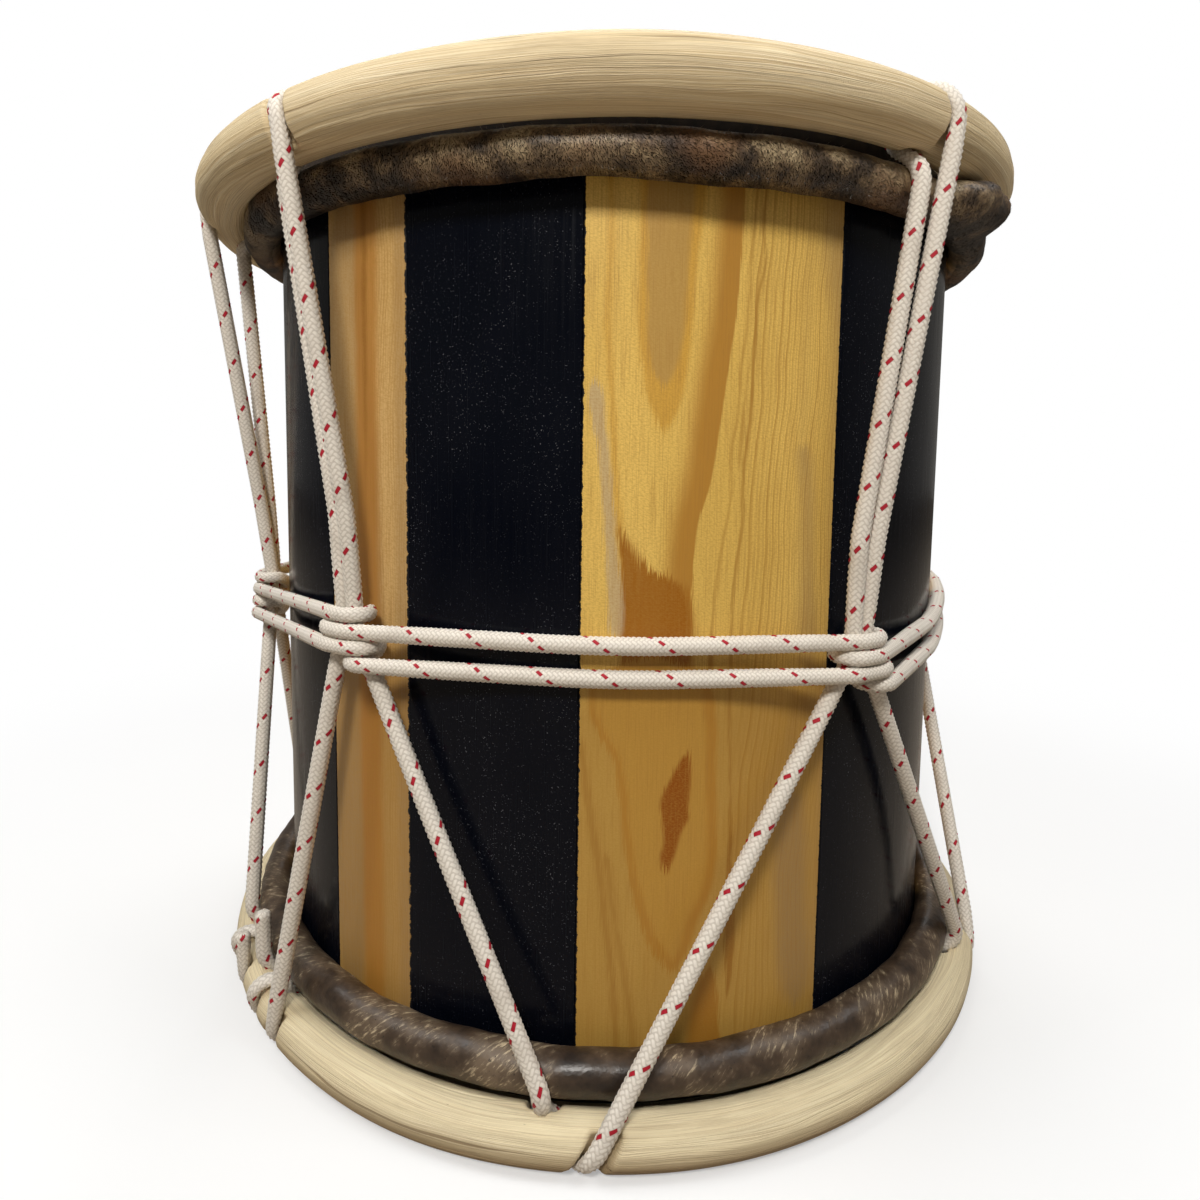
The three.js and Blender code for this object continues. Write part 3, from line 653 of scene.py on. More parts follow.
def tie_stations():
    stations = []

    def add_run(start, end, start_height, end_height):
        steps = max(1, round(abs(end - start) / 1.5))
        for azimuth, height in zip(np.linspace(start, end, steps + 1),
                                   np.linspace(start_height, end_height, steps + 1)):
            stations.append((polar(TIE_RUN_RADIUS, azimuth, height), UP, ROPE_RADIUS, ROPE_RADIUS))

    left_azimuth = left_height = 0.0
    for turn in range(2 * len(KNOTS)):
        knot = (TIE_START_KNOT + turn) % len(KNOTS)
        legs = tie_turn(knot, turn < len(KNOTS))
        arrive = azimuth_of(legs[0]) - landing(legs[0])
        if turn == 0:
            add_run(arrive - TIE_TAIL, arrive, legs[0][2], legs[0][2])
        else:
            span = (arrive - left_azimuth) % 360
            if span < 180:
                add_run(left_azimuth, left_azimuth + span, left_height, legs[0][2])
        stations += [(point, UP, TIE_LOOP_WIDE, TIE_THICK) for point in legs]
        left_azimuth = azimuth_of(legs[-1]) + landing(legs[-1])
        left_height = legs[-1][2]
    add_run(left_azimuth, left_azimuth + TIE_TAIL, left_height, left_height)
    return stations


# ---- Braided rope: strands as a diamond lattice, over two and under two

def resample(points, values, step):
    lengths = np.concatenate([[0], np.cumsum(np.linalg.norm(np.diff(points, axis=0), axis=1))])
    count = max(2, int(round(lengths[-1] / step)) + 1)
    spots = np.linspace(0, lengths[-1], count)
    both = np.hstack([points, values])
    return np.stack([np.interp(spots, lengths, column) for column in both.T], axis=1)


def soften(track, step, spread):
    """Rounds the corners of a track by a weighted mean over a few millimetres."""
    reach = int(3 * spread / step)
    weights = np.exp(-0.5 * (np.arange(-reach, reach + 1) * step / spread) ** 2)
    weights /= weights.sum()
    padded = np.vstack([np.repeat(track[:1], reach, axis=0), track, np.repeat(track[-1:], reach, axis=0)])
    return np.stack([np.convolve(column, weights, mode="valid") for column in padded.T], axis=1)


END_DOME = 2.0


def rope_piece(name, stations, spread, widest, carriers, materials, replaced):
    lattice = 2 * carriers
    step = BRAID_LEAD / (2 * lattice)
    points = np.array([station[0] for station in stations])
    values = np.array([[*station[1], station[2], station[3]] for station in stations])
    track = soften(resample(points, values, step), step, spread)
    track = resample(track[:, :3], track[:, 3:], step)
    centre, sideways = track[:, :3], track[:, 3:6]
    forward = np.gradient(centre, axis=0)
    forward /= np.linalg.norm(forward, axis=1)[:, None]
    across = sideways - np.sum(sideways * forward, axis=1)[:, None] * forward
    across /= np.linalg.norm(across, axis=1)[:, None]
    normal = np.cross(forward, across)
    count = len(centre)
    ring = np.arange(count)[:, None]
    tick = 2 * np.arange(lattice)[None, :] + ring % 2
    turn = math.pi * tick / lattice
    first, second = (ring + tick) // 2, (tick - ring) // 2

    def is_first_over(i, j):
        return (i + j) % 4 < 2

    cell_i, cell_j = first // 2, second // 2
    odd_first, odd_second = first % 2 == 1, second % 2 == 1
    is_middle = odd_first & odd_second
    is_second_run = ~odd_first & odd_second & ~is_first_over(cell_i, cell_j) & ~is_first_over(cell_i - 1, cell_j)
    is_first_run = odd_first & ~odd_second & is_first_over(cell_i, cell_j) & is_first_over(cell_i, cell_j - 1)
    proud = np.where(is_middle, BRAID_MIDDLE, BRAID_LOW)
    proud = np.where(is_second_run | is_first_run, BRAID_HIGH, proud)
    from_end = np.minimum(ring, count - 1 - ring) * step
    dome = np.sqrt(1 - (1 - np.clip((from_end + 0.3) / END_DOME, 0, 1)) ** 2)
    wide = (np.minimum(track[:, 6], widest)[:, None] + proud) * dome
    thick = (np.minimum(track[:, 7], widest)[:, None] + proud) * dome
    skin = (centre[:, None, :] + across[:, None, :] * (wide * np.cos(turn))[..., None]
            + normal[:, None, :] * (thick * np.sin(turn))[..., None])
    verts = np.vstack([skin.reshape(-1, 3), centre[0], centre[-1]])

    def index(rings, ticks):
        return rings * lattice + ((ticks - rings % 2) // 2) % lattice

    ring, tick = ring[1:-1], tick[1:-1]
    quads = np.stack([index(ring, tick), index(ring + 1, tick + 1),
                      index(ring, tick + 2), index(ring - 1, tick + 1)], axis=-1).reshape(-1, 4)
    first, second = ((ring + tick) // 2).ravel(), ((tick - ring) // 2).ravel()
    over = is_first_over(first // 2, second // 2)
    is_tracer = ~over & ((second // 2) % carriers == 0)
    corner_first = np.stack([first, first + 1, first + 1, first], axis=1) / 2
    corner_second = np.stack([second, second, second + 1, second + 1], axis=1) / 2
    along = np.where(over[:, None], corner_second, corner_first)
    side = np.where(over[:, None], corner_first, corner_second)
    uvs = np.stack([side, along], axis=-1).reshape(-1, 2)
    faces = quads.tolist()
    caps = []
    for end, rings, centre_index in ((0, (0, 1), 0), (1, (count - 1, count - 2), 1)):
        zigzag = [int(index(rings[(t + rings[0]) % 2], t)) for t in range(2 * lattice)]
        middle = len(verts) - 2 + centre_index
        caps += [[middle, zigzag[t], zigzag[(t + 1) % len(zigzag)]] for t in range(len(zigzag))]
    faces += caps
    uvs = np.vstack([uvs, np.zeros((3 * len(caps), 2))])
    index_list = np.concatenate([is_tracer.astype(int), np.zeros(len(caps), int)])
    piece = add_piece(name, verts, faces, materials, [replaced], uvs=uvs, index=index_list)
    # Crevices between the strands, marked for a painted shade in the rope's colour
    crevice_shade = np.concatenate([np.where(proud < 0, 1.0, 0.0).ravel(), [1.0, 1.0]])
    piece.data.attributes.new("crevice_shade", "FLOAT", "POINT").data.foreach_set("value", crevice_shade)
    return piece


# ---- Hide heads: membrane, collar and hairy roll

HEAD_STEPS = 540
ROLL_SIDES = 40
# Folds of spare hide: azimuth, half width, bulge, and its angle and spread round the roll
FOLDS = [(51.0, 7.0, 9.5, 15.0, 40.0), (-56.0, 11.0, 2.5, 62.0, 36.0)]
HAIR_FROM = 122.0
TUFT_AZIMUTH = -29.0
TUFT_HALF_WIDTH = 5.0
TUFT_SHARE = 0.05


def roll_surface(side, azimuth, angle, seed):
    """Distance from the axis and height of a point on a roll, with the hide's lumps and sag."""
    lumps = relief(azimuth, angle, [(9, 1), (14, -1), (23, 2), (31, -1), (41, 1)], seed)
    fine = relief(azimuth, angle, [(67, 3), (83, -2), (101, 4)], seed + 1)
    radius = ROLL_RADIUS + 0.2 * lumps + 0.06 * fine
    if side > 0:
        wrinkle = relief(azimuth, angle, [(36, 2), (52, -3), (75, 4)], seed + 3)
        for fold_azimuth, half_width, bulge, fold_angle, spread in FOLDS:
            share = np.exp(-(apart(fold_azimuth, azimuth) / half_width) ** 4)
            share = share * np.exp(-((angle - fold_angle) / spread) ** 2)
            radius = radius + share * bulge * (1 + 0.08 * wrinkle)
    turn = np.radians(angle)
    out = ROLL_RING + radius * np.cos(turn)
    rise = radius * np.sin(turn)
    hang = np.clip(-np.sin(turn), 0, 1)
    rise = rise - hang * (0.3 + 0.4 * relief(azimuth, 0, [(7, 0), (13, 0), (19, 0)], seed + 2))
    base = TOP_ROLL if side > 0 else BOTTOM_ROLL
    return out, base + rise * side


def head_piece(name, side, materials, replaced, seed):
    end = SHELL_TOP if side > 0 else SHELL_BOTTOM
    skin_out = SEAT + SKIN
    azimuth = np.arange(HEAD_STEPS)[:, None] * (360 / HEAD_STEPS)
    angles = np.linspace(152, -165, ROLL_SIDES)[None, :]
    roll_out, roll_height = roll_surface(side, azimuth, angles, seed)
    radii = [8, 30, 60, 90, 115, 130, 136, 139, 140.4]
    flat_out = np.broadcast_to(radii, (HEAD_STEPS, len(radii)))
    dome = np.interp(radii, [0, 115, 136, 140.4], [0.0, 0.0, 0.0, -0.25])
    flat_height = end + side * (skin_out + np.broadcast_to(dome, flat_out.shape))
    depth = np.linspace(0.2, 12.2, 9)
    collar_out = np.broadcast_to(COLLAR_RADIUS, (HEAD_STEPS, len(depth)))
    collar_height = end + side * (SEAT - np.broadcast_to(depth, collar_out.shape))
    out = np.hstack([flat_out, collar_out, roll_out])
    height = np.hstack([flat_height, collar_height, roll_height])
    points = polar(out, azimuth, height)
    columns = out.shape[1]
    centre = len(points.reshape(-1, 3))
    verts = np.vstack([points.reshape(-1, 3), [0, 0, end + side * skin_out]])
    faces, corners = loft(HEAD_STEPS, columns, True, False)
    # Columns from the collar to the roll's tucked inner side take the near-black painted shade
    tucked = len(radii) + len(depth) + int(np.sum(angles > HAIR_FROM))
    strip = corners[::4, 1]
    index = np.where(strip < len(radii) + 2, 0, np.where(strip < tucked, 2, 1)).tolist()
    for row in range(HEAD_STEPS):
        faces.append([centre, row * columns, ((row + 1) % HEAD_STEPS) * columns])
        index.append(0)
    lengths = [2 * math.pi * ROLL_RING / HEAD_STEPS, math.radians(317) * ROLL_RADIUS / (ROLL_SIDES - 1)]
    uvs = np.vstack([corners * lengths, np.zeros((3 * HEAD_STEPS, 2))])
    return add_piece(name, verts, faces, materials, [replaced], uvs=uvs, index=index)


def fur_piece(name, side, count, length, material, seed, keep_clear):
    """Short hairs lying along the roll, each a thin blade."""
    rng = np.random.default_rng(seed)
    azimuth = rng.uniform(0, 360, count)
    angle = rng.uniform(-118, HAIR_FROM + 4, count)
    clear = np.ones(count, bool)
    for crossing in keep_clear:
        distance = np.radians(apart(crossing.inner, azimuth)) * ROLL_RING
        clear &= (distance > 3.0) | (angle < -25)
    azimuth, angle = azimuth[clear], angle[clear]
    count = len(azimuth)

    def surface(az, an):
        out, height = roll_surface(side, az, an, 11 if side > 0 else 21)
        return polar(out, az, height)

    root = surface(azimuth, angle)
    step = 0.5
    round_roll = surface(azimuth, angle + step) - root
    along = surface(azimuth + 0.05, angle) - root
    round_roll /= np.linalg.norm(round_roll, axis=1)[:, None]
    along /= np.linalg.norm(along, axis=1)[:, None]
    normal = np.cross(along, round_roll)
    middle = polar(np.full(count, ROLL_RING), azimuth,
                   np.full(count, TOP_ROLL if side > 0 else BOTTOM_ROLL))
    normal *= np.sign(np.sum(normal * (root - middle), axis=1))[:, None]
    swirl = relief(azimuth, 0, [(5, 0), (11, 0), (17, 0)], seed + 5) * 0.5
    heading = -1.05 + swirl + rng.normal(0, 0.4, count)
    near_tuft = np.exp(-(apart(TUFT_AZIMUTH, azimuth) / TUFT_HALF_WIDTH) ** 2)
    whisker = rng.uniform(0, 1, count) > 0.995 - TUFT_SHARE * near_tuft
    heading[whisker] = -1.5 + 0.3 * (heading[whisker] + 1.05)
    comb = along * np.cos(heading)[:, None] + round_roll * np.sin(heading)[:, None]
    tall = length * rng.uniform(0.55, 1.25, count)
    lift = np.radians(rng.uniform(2, 9, count))
    lift[whisker] += np.radians(12)
    tall[whisker] *= 3.6
    half = rng.uniform(0.035, 0.065, count)[:, None]
    beside = np.cross(normal, comb)
    tip = root + (comb * np.cos(lift)[:, None] + normal * np.sin(lift)[:, None]) * tall[:, None]
    verts = np.stack([root - beside * half, root + beside * half, tip], axis=1)
    verts[..., 2] = np.maximum(verts[..., 2], 0.05)
    faces = (3 * np.arange(count)[:, None] + [0, 1, 2]).tolist()
    piece = add_piece(name, verts.reshape(-1, 3), faces, [material], closed=False)
    shading = normal + 0.35 * comb + rng.normal(0, 0.16, (count, 3))
    shading /= np.linalg.norm(shading, axis=1)[:, None]
    piece.data.normals_split_custom_set_from_vertices(np.repeat(shading, 3, axis=0).tolist())
    # Painted light and shade: hairs on the roll's upper side lighter and on its underside darker, over each hair's
    # random tone; whiskers a little lighter
    shade = rng.uniform(0, 1, count) + 0.8 * smooth_step(15, 60, angle) + 0.9 * smooth_step(60, 100, angle)
    shade = shade - 0.8 * (1 - smooth_step(-50, 15, angle)) + 0.3 * whisker
    tone = np.repeat(shade, 3) + np.tile([-0.15, -0.15, 0.15], count)
    piece.data.attributes.new("tone", "FLOAT", "POINT").data.foreach_set("value", tone)
    return piece


# ---- Staves

def stave_piece(number, start, end, material):
    half_joint = math.degrees(HALF_JOINT / SHELL_RADIUS)
    bevel = math.degrees(JOINT_BEVEL / SHELL_RADIUS)
    steps = max(4, math.ceil(end - start))
    inner = np.linspace(start + half_joint + bevel, end - half_joint - bevel, steps + 1)
    azimuths = np.concatenate([[start + half_joint], inner, [end - half_joint]])
    radii = np.full(len(azimuths), SHELL_RADIUS)
    radii[[0, -1]] -= JOINT_BEVEL
    back = azimuths[::-1]
    azimuths = np.concatenate([azimuths, back])
    radii = np.concatenate([radii, np.full(len(back), SHELL_RADIUS - STAVE_THICKNESS)])
    heights = SHELL_BOTTOM + np.array([0, JOINT_BEVEL, SHELL_LENGTH / 2, SHELL_LENGTH - JOINT_BEVEL, SHELL_LENGTH])
    inset = np.array([JOINT_BEVEL, 0, 0, 0, JOINT_BEVEL])
    is_front = (radii > SHELL_RADIUS - STAVE_THICKNESS / 2)[None, :]
    rings = polar(radii[None, :] - inset[:, None] * is_front, azimuths[None, :], heights[:, None])
    columns = len(azimuths)
    faces, corners = loft(len(heights), columns, False, True)
    faces += [list(range(columns)), [4 * columns + column for column in range(columns)]]
    column_u = np.radians(azimuths - start) * SHELL_RADIUS * MM
    corner_rows = corners[:, 0].astype(int)
    corner_columns = corners[:, 1].astype(int) % columns
    uvs = np.stack([column_u[corner_columns], heights[corner_rows] * MM], axis=1)
    ends = np.zeros((2 * columns, 2))
    ends[:, 0] = np.tile(column_u, 2)
    name = f"stave_{number:02d}"
    piece = add_piece(name + "_board", rings.reshape(-1, 3), faces, [material], [name],
                      uvs=np.vstack([uvs, ends]))
    piece.data.polygons.foreach_set("use_smooth", [True] * len(faces))
    piece.data.set_sharp_from_angle(angle=math.radians(35))
    return piece


# ---- Materials

AMBER = (0.335, 0.112, 0.003)
ORANGE = (0.60, 0.315, 0.040)
GREY_TAN = (0.455, 0.285, 0.088)
PALE_GREY = (0.50, 0.39, 0.24)
GREY_BROWN = (0.27, 0.175, 0.09)
DARK_LINE = (0.30, 0.125, 0.015)
STRIPE_TAPER = 4.0


def stripe(points, half_width, soft, colour, strength):
    """A stripe along a traced line, closed just beyond its ends."""
    (top, top_across), (bottom, bottom_across) = points[0], points[-1]
    left = [(up, across - half_width) for up, across in points]
    right = [(up, across + half_width) for up, across in points]
    closing = half_width + soft
    for end, across in ((top + STRIPE_TAPER, top_across), (bottom - STRIPE_TAPER, bottom_across)):
        left.append((end, across + closing))
        right.append((end, across - closing))
    return left, right, soft, soft, colour, strength


# Each figure: left edge, right edge, their softness, colour and strength
FRONT_FIGURES = [
    ([(300, 15.2), (271, 15.4), (246, 15.5), (235, 15.8), (225, 17.5), (215, 20.5), (209, 24), (200, 30)],
     [(300, 35), (271, 33.6), (250, 31.6), (238, 31), (225, 29.5), (215, 27), (209, 23), (200, 18)],
     1.6, 1.6, ORANGE, 0.75),
    ([(300, 17), (271, 17.2), (246, 18.2), (235, 18.4), (228, 20), (223, 23), (215, 30)],
     [(300, 32), (271, 30.4), (250, 29.4), (238, 28.6), (228, 26.4), (223, 23.5), (215, 18)],
     1.5, 1.8, GREY_TAN, 0.8),
    stripe([(300, 6.8), (279, 7.2), (262, 7.4), (240, 7.0), (219, 8.6), (196, 9.8), (178, 11.6), (151, 12.6)],
           0.9, 1.5, ORANGE, 0.6),
    ([(300, 39), (281, 38.3), (247, 36.6), (223, 33), (195, 29.4), (182, 26.2), (156, 25), (138, 24), (134, 35)],
     [(300, 46.4), (281, 45.8), (247, 44.1), (223, 41.4), (208, 39.6), (195, 37.4), (182, 33.8), (156, 33),
      (138, 32), (134, 21)],
     5.0, 0.5, AMBER, 0.72),
    ([(190, 9), (178, 11), (165, 12), (150, 11.8), (138, 14), (134, 36)],
     [(190, 8), (178, 14.5), (172, 18.5), (168, 27), (160, 32.6), (138, 32), (134, 12)],
     1.2, 3.0, (0.30, 0.095, 0.002), 0.95),
    stripe([(223, 3.6), (205, 6.2), (178, 8.8), (151, 11)], 1.5, 1.2, PALE_GREY, 0.75),
    stripe([(300, 53), (281, 52.4), (268, 52), (260, 52.7), (249, 50.6), (232, 50), (212, 48.8), (196, 47.6),
            (186, 48), (168, 45.8), (155, 45.4), (131, 45.6), (100, 46.6), (38, 47.8)], 0.28, 0.9, DARK_LINE, 0.9),
    stripe([(300, 49.5), (275, 49.2), (262, 48.2), (247, 47.8), (226, 45.8), (215, 45.4), (203, 43.6),
            (194, 44), (175, 41.2), (159, 39.6), (135, 39)], 0.25, 1.0, DARK_LINE, 0.7),
    stripe([(300, 51), (268, 50.6), (250, 51.4), (226, 48), (200, 46.4)], 0.15, 0.8, DARK_LINE, 0.5),
    stripe([(206, 68), (195, 70.4), (175, 71.4), (138, 73)], 2.2, 4.0, GREY_BROWN, 0.45),
    ([(300, 70), (270, 72), (240, 78), (200, 80), (100, 80)],
     [(300, 84), (100, 84)], 7.0, 1.0, GREY_BROWN, 0.5),
    ([(148, 24), (138, 4), (129, 3.4), (112, 10.6), (86, 14.2), (68, 18), (55, 22.6), (47, 29), (40, 36)],
     [(148, 20), (138, 39), (100, 42), (76, 42.2), (63, 37.4), (53, 34), (47, 30), (40, 24)],
     1.2, 1.6, (0.42, 0.18, 0.018), 0.75),
    ([(148, 24), (138, 5), (129, 5.6), (112, 13), (86, 16.6), (68, 20.8), (55, 26), (50, 29.4), (44, 36)],
     [(148, 20), (138, 36), (100, 38.6), (76, 39), (63, 34), (53, 31), (50, 29), (44, 24)],
     1.4, 2.0, (0.50, 0.275, 0.05), 0.9),
    ([(118, 34), (114, 31), (108, 27.6), (100, 24.4), (95, 25), (88, 26), (84, 25), (80, 26), (76, 32)],
     [(118, 32), (114, 33.4), (108, 33.8), (100, 33.2), (95, 33.4), (92, 31.6), (86, 30), (80, 28), (76, 26)],
     1.4, 1.4, (0.26, 0.064, 0.0), 1.0),
    stripe([(118, 1), (112, 1.6), (80, 6.4), (50, 10.4), (28, 12.6), (3, 13.4)], 0.7, 2.0, DARK_LINE, 0.75),
    stripe([(84, 8.6), (79, 9.4), (50, 14), (26, 17.8), (3, 19)], 0.6, 2.0, DARK_LINE, 0.7),
    ([(50, 43), (44, 38.4), (30, 35), (3, 34)], [(50, 41), (44, 43), (30, 45), (3, 46)], 2.5, 1.0, AMBER, 0.7),
    ([(104, 68), (95, 63), (60, 64), (35, 67), (24, 74)], [(104, 67), (95, 73), (60, 76), (35, 78), (24, 73)],
     5.0, 5.0, GREY_BROWN, 0.6),
]
LEFT_FIGURES = [
    stripe([(300, 9), (3, 8.4)], 1.1, 2.6, GREY_BROWN, 0.45),
    ([(300, 14.6), (150, 14.6), (3, 15.8)], [(300, 25), (150, 24.8), (3, 25.4)], 2.6, 3.0, (0.42, 0.165, 0.02), 0.75),
    ([(300, 17.6), (240, 18.2), (150, 19)], [(300, 20.6), (240, 20), (150, 18)], 1.5, 1.5, (0.25, 0.095, 0.012), 0.7),
    ([(300, 32), (3, 32.6)], [(300, 40), (3, 40)], 3.0, 1.0, GREY_BROWN, 0.4),
]
PINE_BASE = ((0.82, 0.55, 0.14), (0.72, 0.47, 0.11))
LEFT_BASE = ((0.72, 0.485, 0.21), (0.65, 0.42, 0.16))


def pine_material(name, width, centre, tip, ring_length, ring_width, seed, figures=(), rings_from=-50.0, base=PINE_BASE):
    """Flat-sawn pine: growth rings as nested parabolas round a centre line, in UV millimetres."""
    shader = Shader(name, (0.55, 0.33, 0.09), 0.4, Specular_IOR_Level=0.28)
    u, v, _ = shader.split(shader.uv())
    x = shader.math("MULTIPLY", u, 1 / MM)
    z = shader.math("MULTIPLY", v, 1 / MM)
    drift = shader.noise(shader.join(shader.math("MULTIPLY", x, 0.012), shader.math("MULTIPLY", z, 0.011), seed), 1.0, 2.0)
    wave = shader.noise(shader.join(shader.math("MULTIPLY", x, 0.05), shader.math("MULTIPLY", z, 0.035), seed + 3), 1.0, 2.0)
    shift_x = shader.math("MULTIPLY_ADD", shader.math("SUBTRACT", drift, 0.5), 16.0, x)
    shift_x = shader.math("MULTIPLY_ADD", shader.math("SUBTRACT", wave, 0.5), 1.9, shift_x)
    across = shader.math("DIVIDE", shader.math("SUBTRACT", shift_x, centre), ring_width)
    rings = shader.math("SUBTRACT", shader.math("DIVIDE", shader.math("SUBTRACT", z, tip), ring_length),
                        shader.math("MULTIPLY", across, across))
    part = shader.math("FRACT", shader.math("ADD", rings, 40.0))
    late = shader.math("MULTIPLY", shader.range(part, 0.45, 0.97), shader.range(part, 1.0, 0.965))
    thin = shader.math("MULTIPLY", shader.range(part, 0.1, 0.3), shader.range(part, 0.5, 0.3))
    number = shader.math("FLOOR", shader.math("ADD", rings, 40.0))
    strength = shader.noise(shader.join(number, seed), 0.9, 1.0)
    late = shader.math("MULTIPLY", late, shader.range(strength, 0.3, 0.75, 0.35, 1.0))
    has_rings = shader.range(x, rings_from - 2, rings_from + 3)
    late = shader.math("MULTIPLY", late, has_rings)
    thin = shader.math("MULTIPLY", thin, has_rings)
    fibre = shader.noise(shader.join(shader.math("MULTIPLY", x, 2.4), shader.math("MULTIPLY", z, 0.05), seed), 1.0, 4.0, 0.6)
    pores = shader.noise(shader.join(shader.math("MULTIPLY", x, 5.0), shader.math("MULTIPLY", z, 0.22), seed), 1.0, 2.0)
    cloud = shader.noise(shader.join(shader.math("MULTIPLY", x, 0.035), shader.math("MULTIPLY", z, 0.009), seed + 7), 1.0, 3.0)
    colour = shader.mix(shader.range(cloud, 0.34, 0.66), *base)
    # Painted shade: browner and darker towards the bottom of each board, where the light falls off downward
    colour = shader.mix(shader.range(z, 152, 125, 0.0, 0.7), colour, (0.36, 0.185, 0.036))
    colour = shader.mix(shader.math("MULTIPLY", late, 0.72), colour, (0.36, 0.17, 0.026))
    colour = shader.mix(shader.math("MULTIPLY", thin, 0.26), colour, (0.40, 0.20, 0.045))
    if figures:
        hairs = shader.noise(shader.join(shader.math("MULTIPLY", x, 3.0), shader.math("MULTIPLY", z, 0.12), seed), 1.0, 2.0)
        ragged_x = shader.math("MULTIPLY_ADD", shader.math("SUBTRACT", hairs, 0.5), 2.6, x)
        ragged_x = shader.math("MULTIPLY_ADD", shader.math("SUBTRACT", wave, 0.5), 1.4, ragged_x)
        ragged_z = shader.math("MULTIPLY_ADD", shader.math("SUBTRACT", hairs, 0.5), 12.0, z)
        for left, right, left_soft, right_soft, tint, share in figures:
            figure = shader.patch(ragged_x, ragged_z, left, right, 1.5 * left_soft, 1.5 * right_soft)
            colour = shader.mix(shader.math("MULTIPLY", figure, share), colour, tint)
    colour = shader.mix(shader.range(fibre, 0.42, 0.75, 0.0, 0.48), colour, (0.36, 0.17, 0.03))
    colour = shader.mix(shader.range(pores, 0.66, 0.74, 0.0, 0.35), colour, (0.22, 0.10, 0.03))
    fuzz = shader.noise(shader.join(shader.math("MULTIPLY_ADD", z, 0.8, x), shader.math("MULTIPLY", z, 1.5), seed), 1.3, 2.0, 0.6)
    colour = shader.mix(shader.range(fuzz, 0.38, 0.66, 0.0, 0.36), colour, (0.40, 0.21, 0.035))
    edge = shader.math("MINIMUM", x, shader.math("SUBTRACT", width, x))
    ragged_edge = shader.noise(shader.join(shader.math("MULTIPLY", x, 0.1), shader.math("MULTIPLY", z, 0.45), seed), 1.0, 4.0, 0.7)
    painted = shader.math("SUBTRACT", edge, shader.math("MULTIPLY", shader.math("SUBTRACT", ragged_edge, 0.36), 2.2))
    colour = shader.mix(shader.range(painted, 0.12, 0.0), colour, (0.010, 0.010, 0.013))
    grain = shader.math("ADD", shader.math("MULTIPLY", fibre, 0.6), shader.math("MULTIPLY", late, 0.5))
    normal = shader.bump(grain, 0.00012, 0.35)
    rough = shader.range(fibre, 0.3, 0.7, 0.32, 0.46)
    return shader.finish(colour, rough, normal)


def black_material():
    shader = Shader("black_paint_gloss", (0.002, 0.003, 0.006), 0.2, Specular_IOR_Level=0.13)
    u, v, _ = shader.split(shader.uv())
    x = shader.math("MULTIPLY", u, 1 / MM)
    z = shader.math("MULTIPLY", v, 1 / MM)
    streaks = shader.noise(shader.join(shader.math("MULTIPLY", x, 0.9), shader.math("MULTIPLY", z, 0.018), 1.0), 1.0, 4.0, 0.65)
    peel = shader.noise(shader.join(x, z, 2.0), 0.55, 2.0)
    dust = shader.noise(shader.join(x, z, 4.0), 1.9, 2.0, 0.6)
    patches = shader.noise(shader.join(shader.math("MULTIPLY", x, 0.05), shader.math("MULTIPLY", z, 0.02), 6.0), 1.0, 3.0)
    # The paint's own patchy tone, tinted blue as a painted bluish sheen
    colour = shader.ramp(patches, [(0.3, (0.0008, 0.0016, 0.0045)), (0.75, (0.003, 0.0037, 0.0068))])
    specks = shader.math("MULTIPLY", shader.range(dust, 0.65, 0.75), shader.range(patches, 0.42, 0.62, 0.05, 0.26))
    colour = shader.mix(specks, colour, (0.5, 0.5, 0.54))
    rough = shader.math("MULTIPLY_ADD", shader.range(streaks, 0.35, 0.7), 0.16, 0.13)
    rough = shader.math("ADD", rough, shader.range(dust, 0.66, 0.78, 0.0, 0.25))
    height = shader.math("ADD", shader.math("MULTIPLY", streaks, 0.5), shader.math("MULTIPLY", peel, 0.5))
    return shader.finish(colour, rough, shader.bump(height, 0.00011, 0.4))


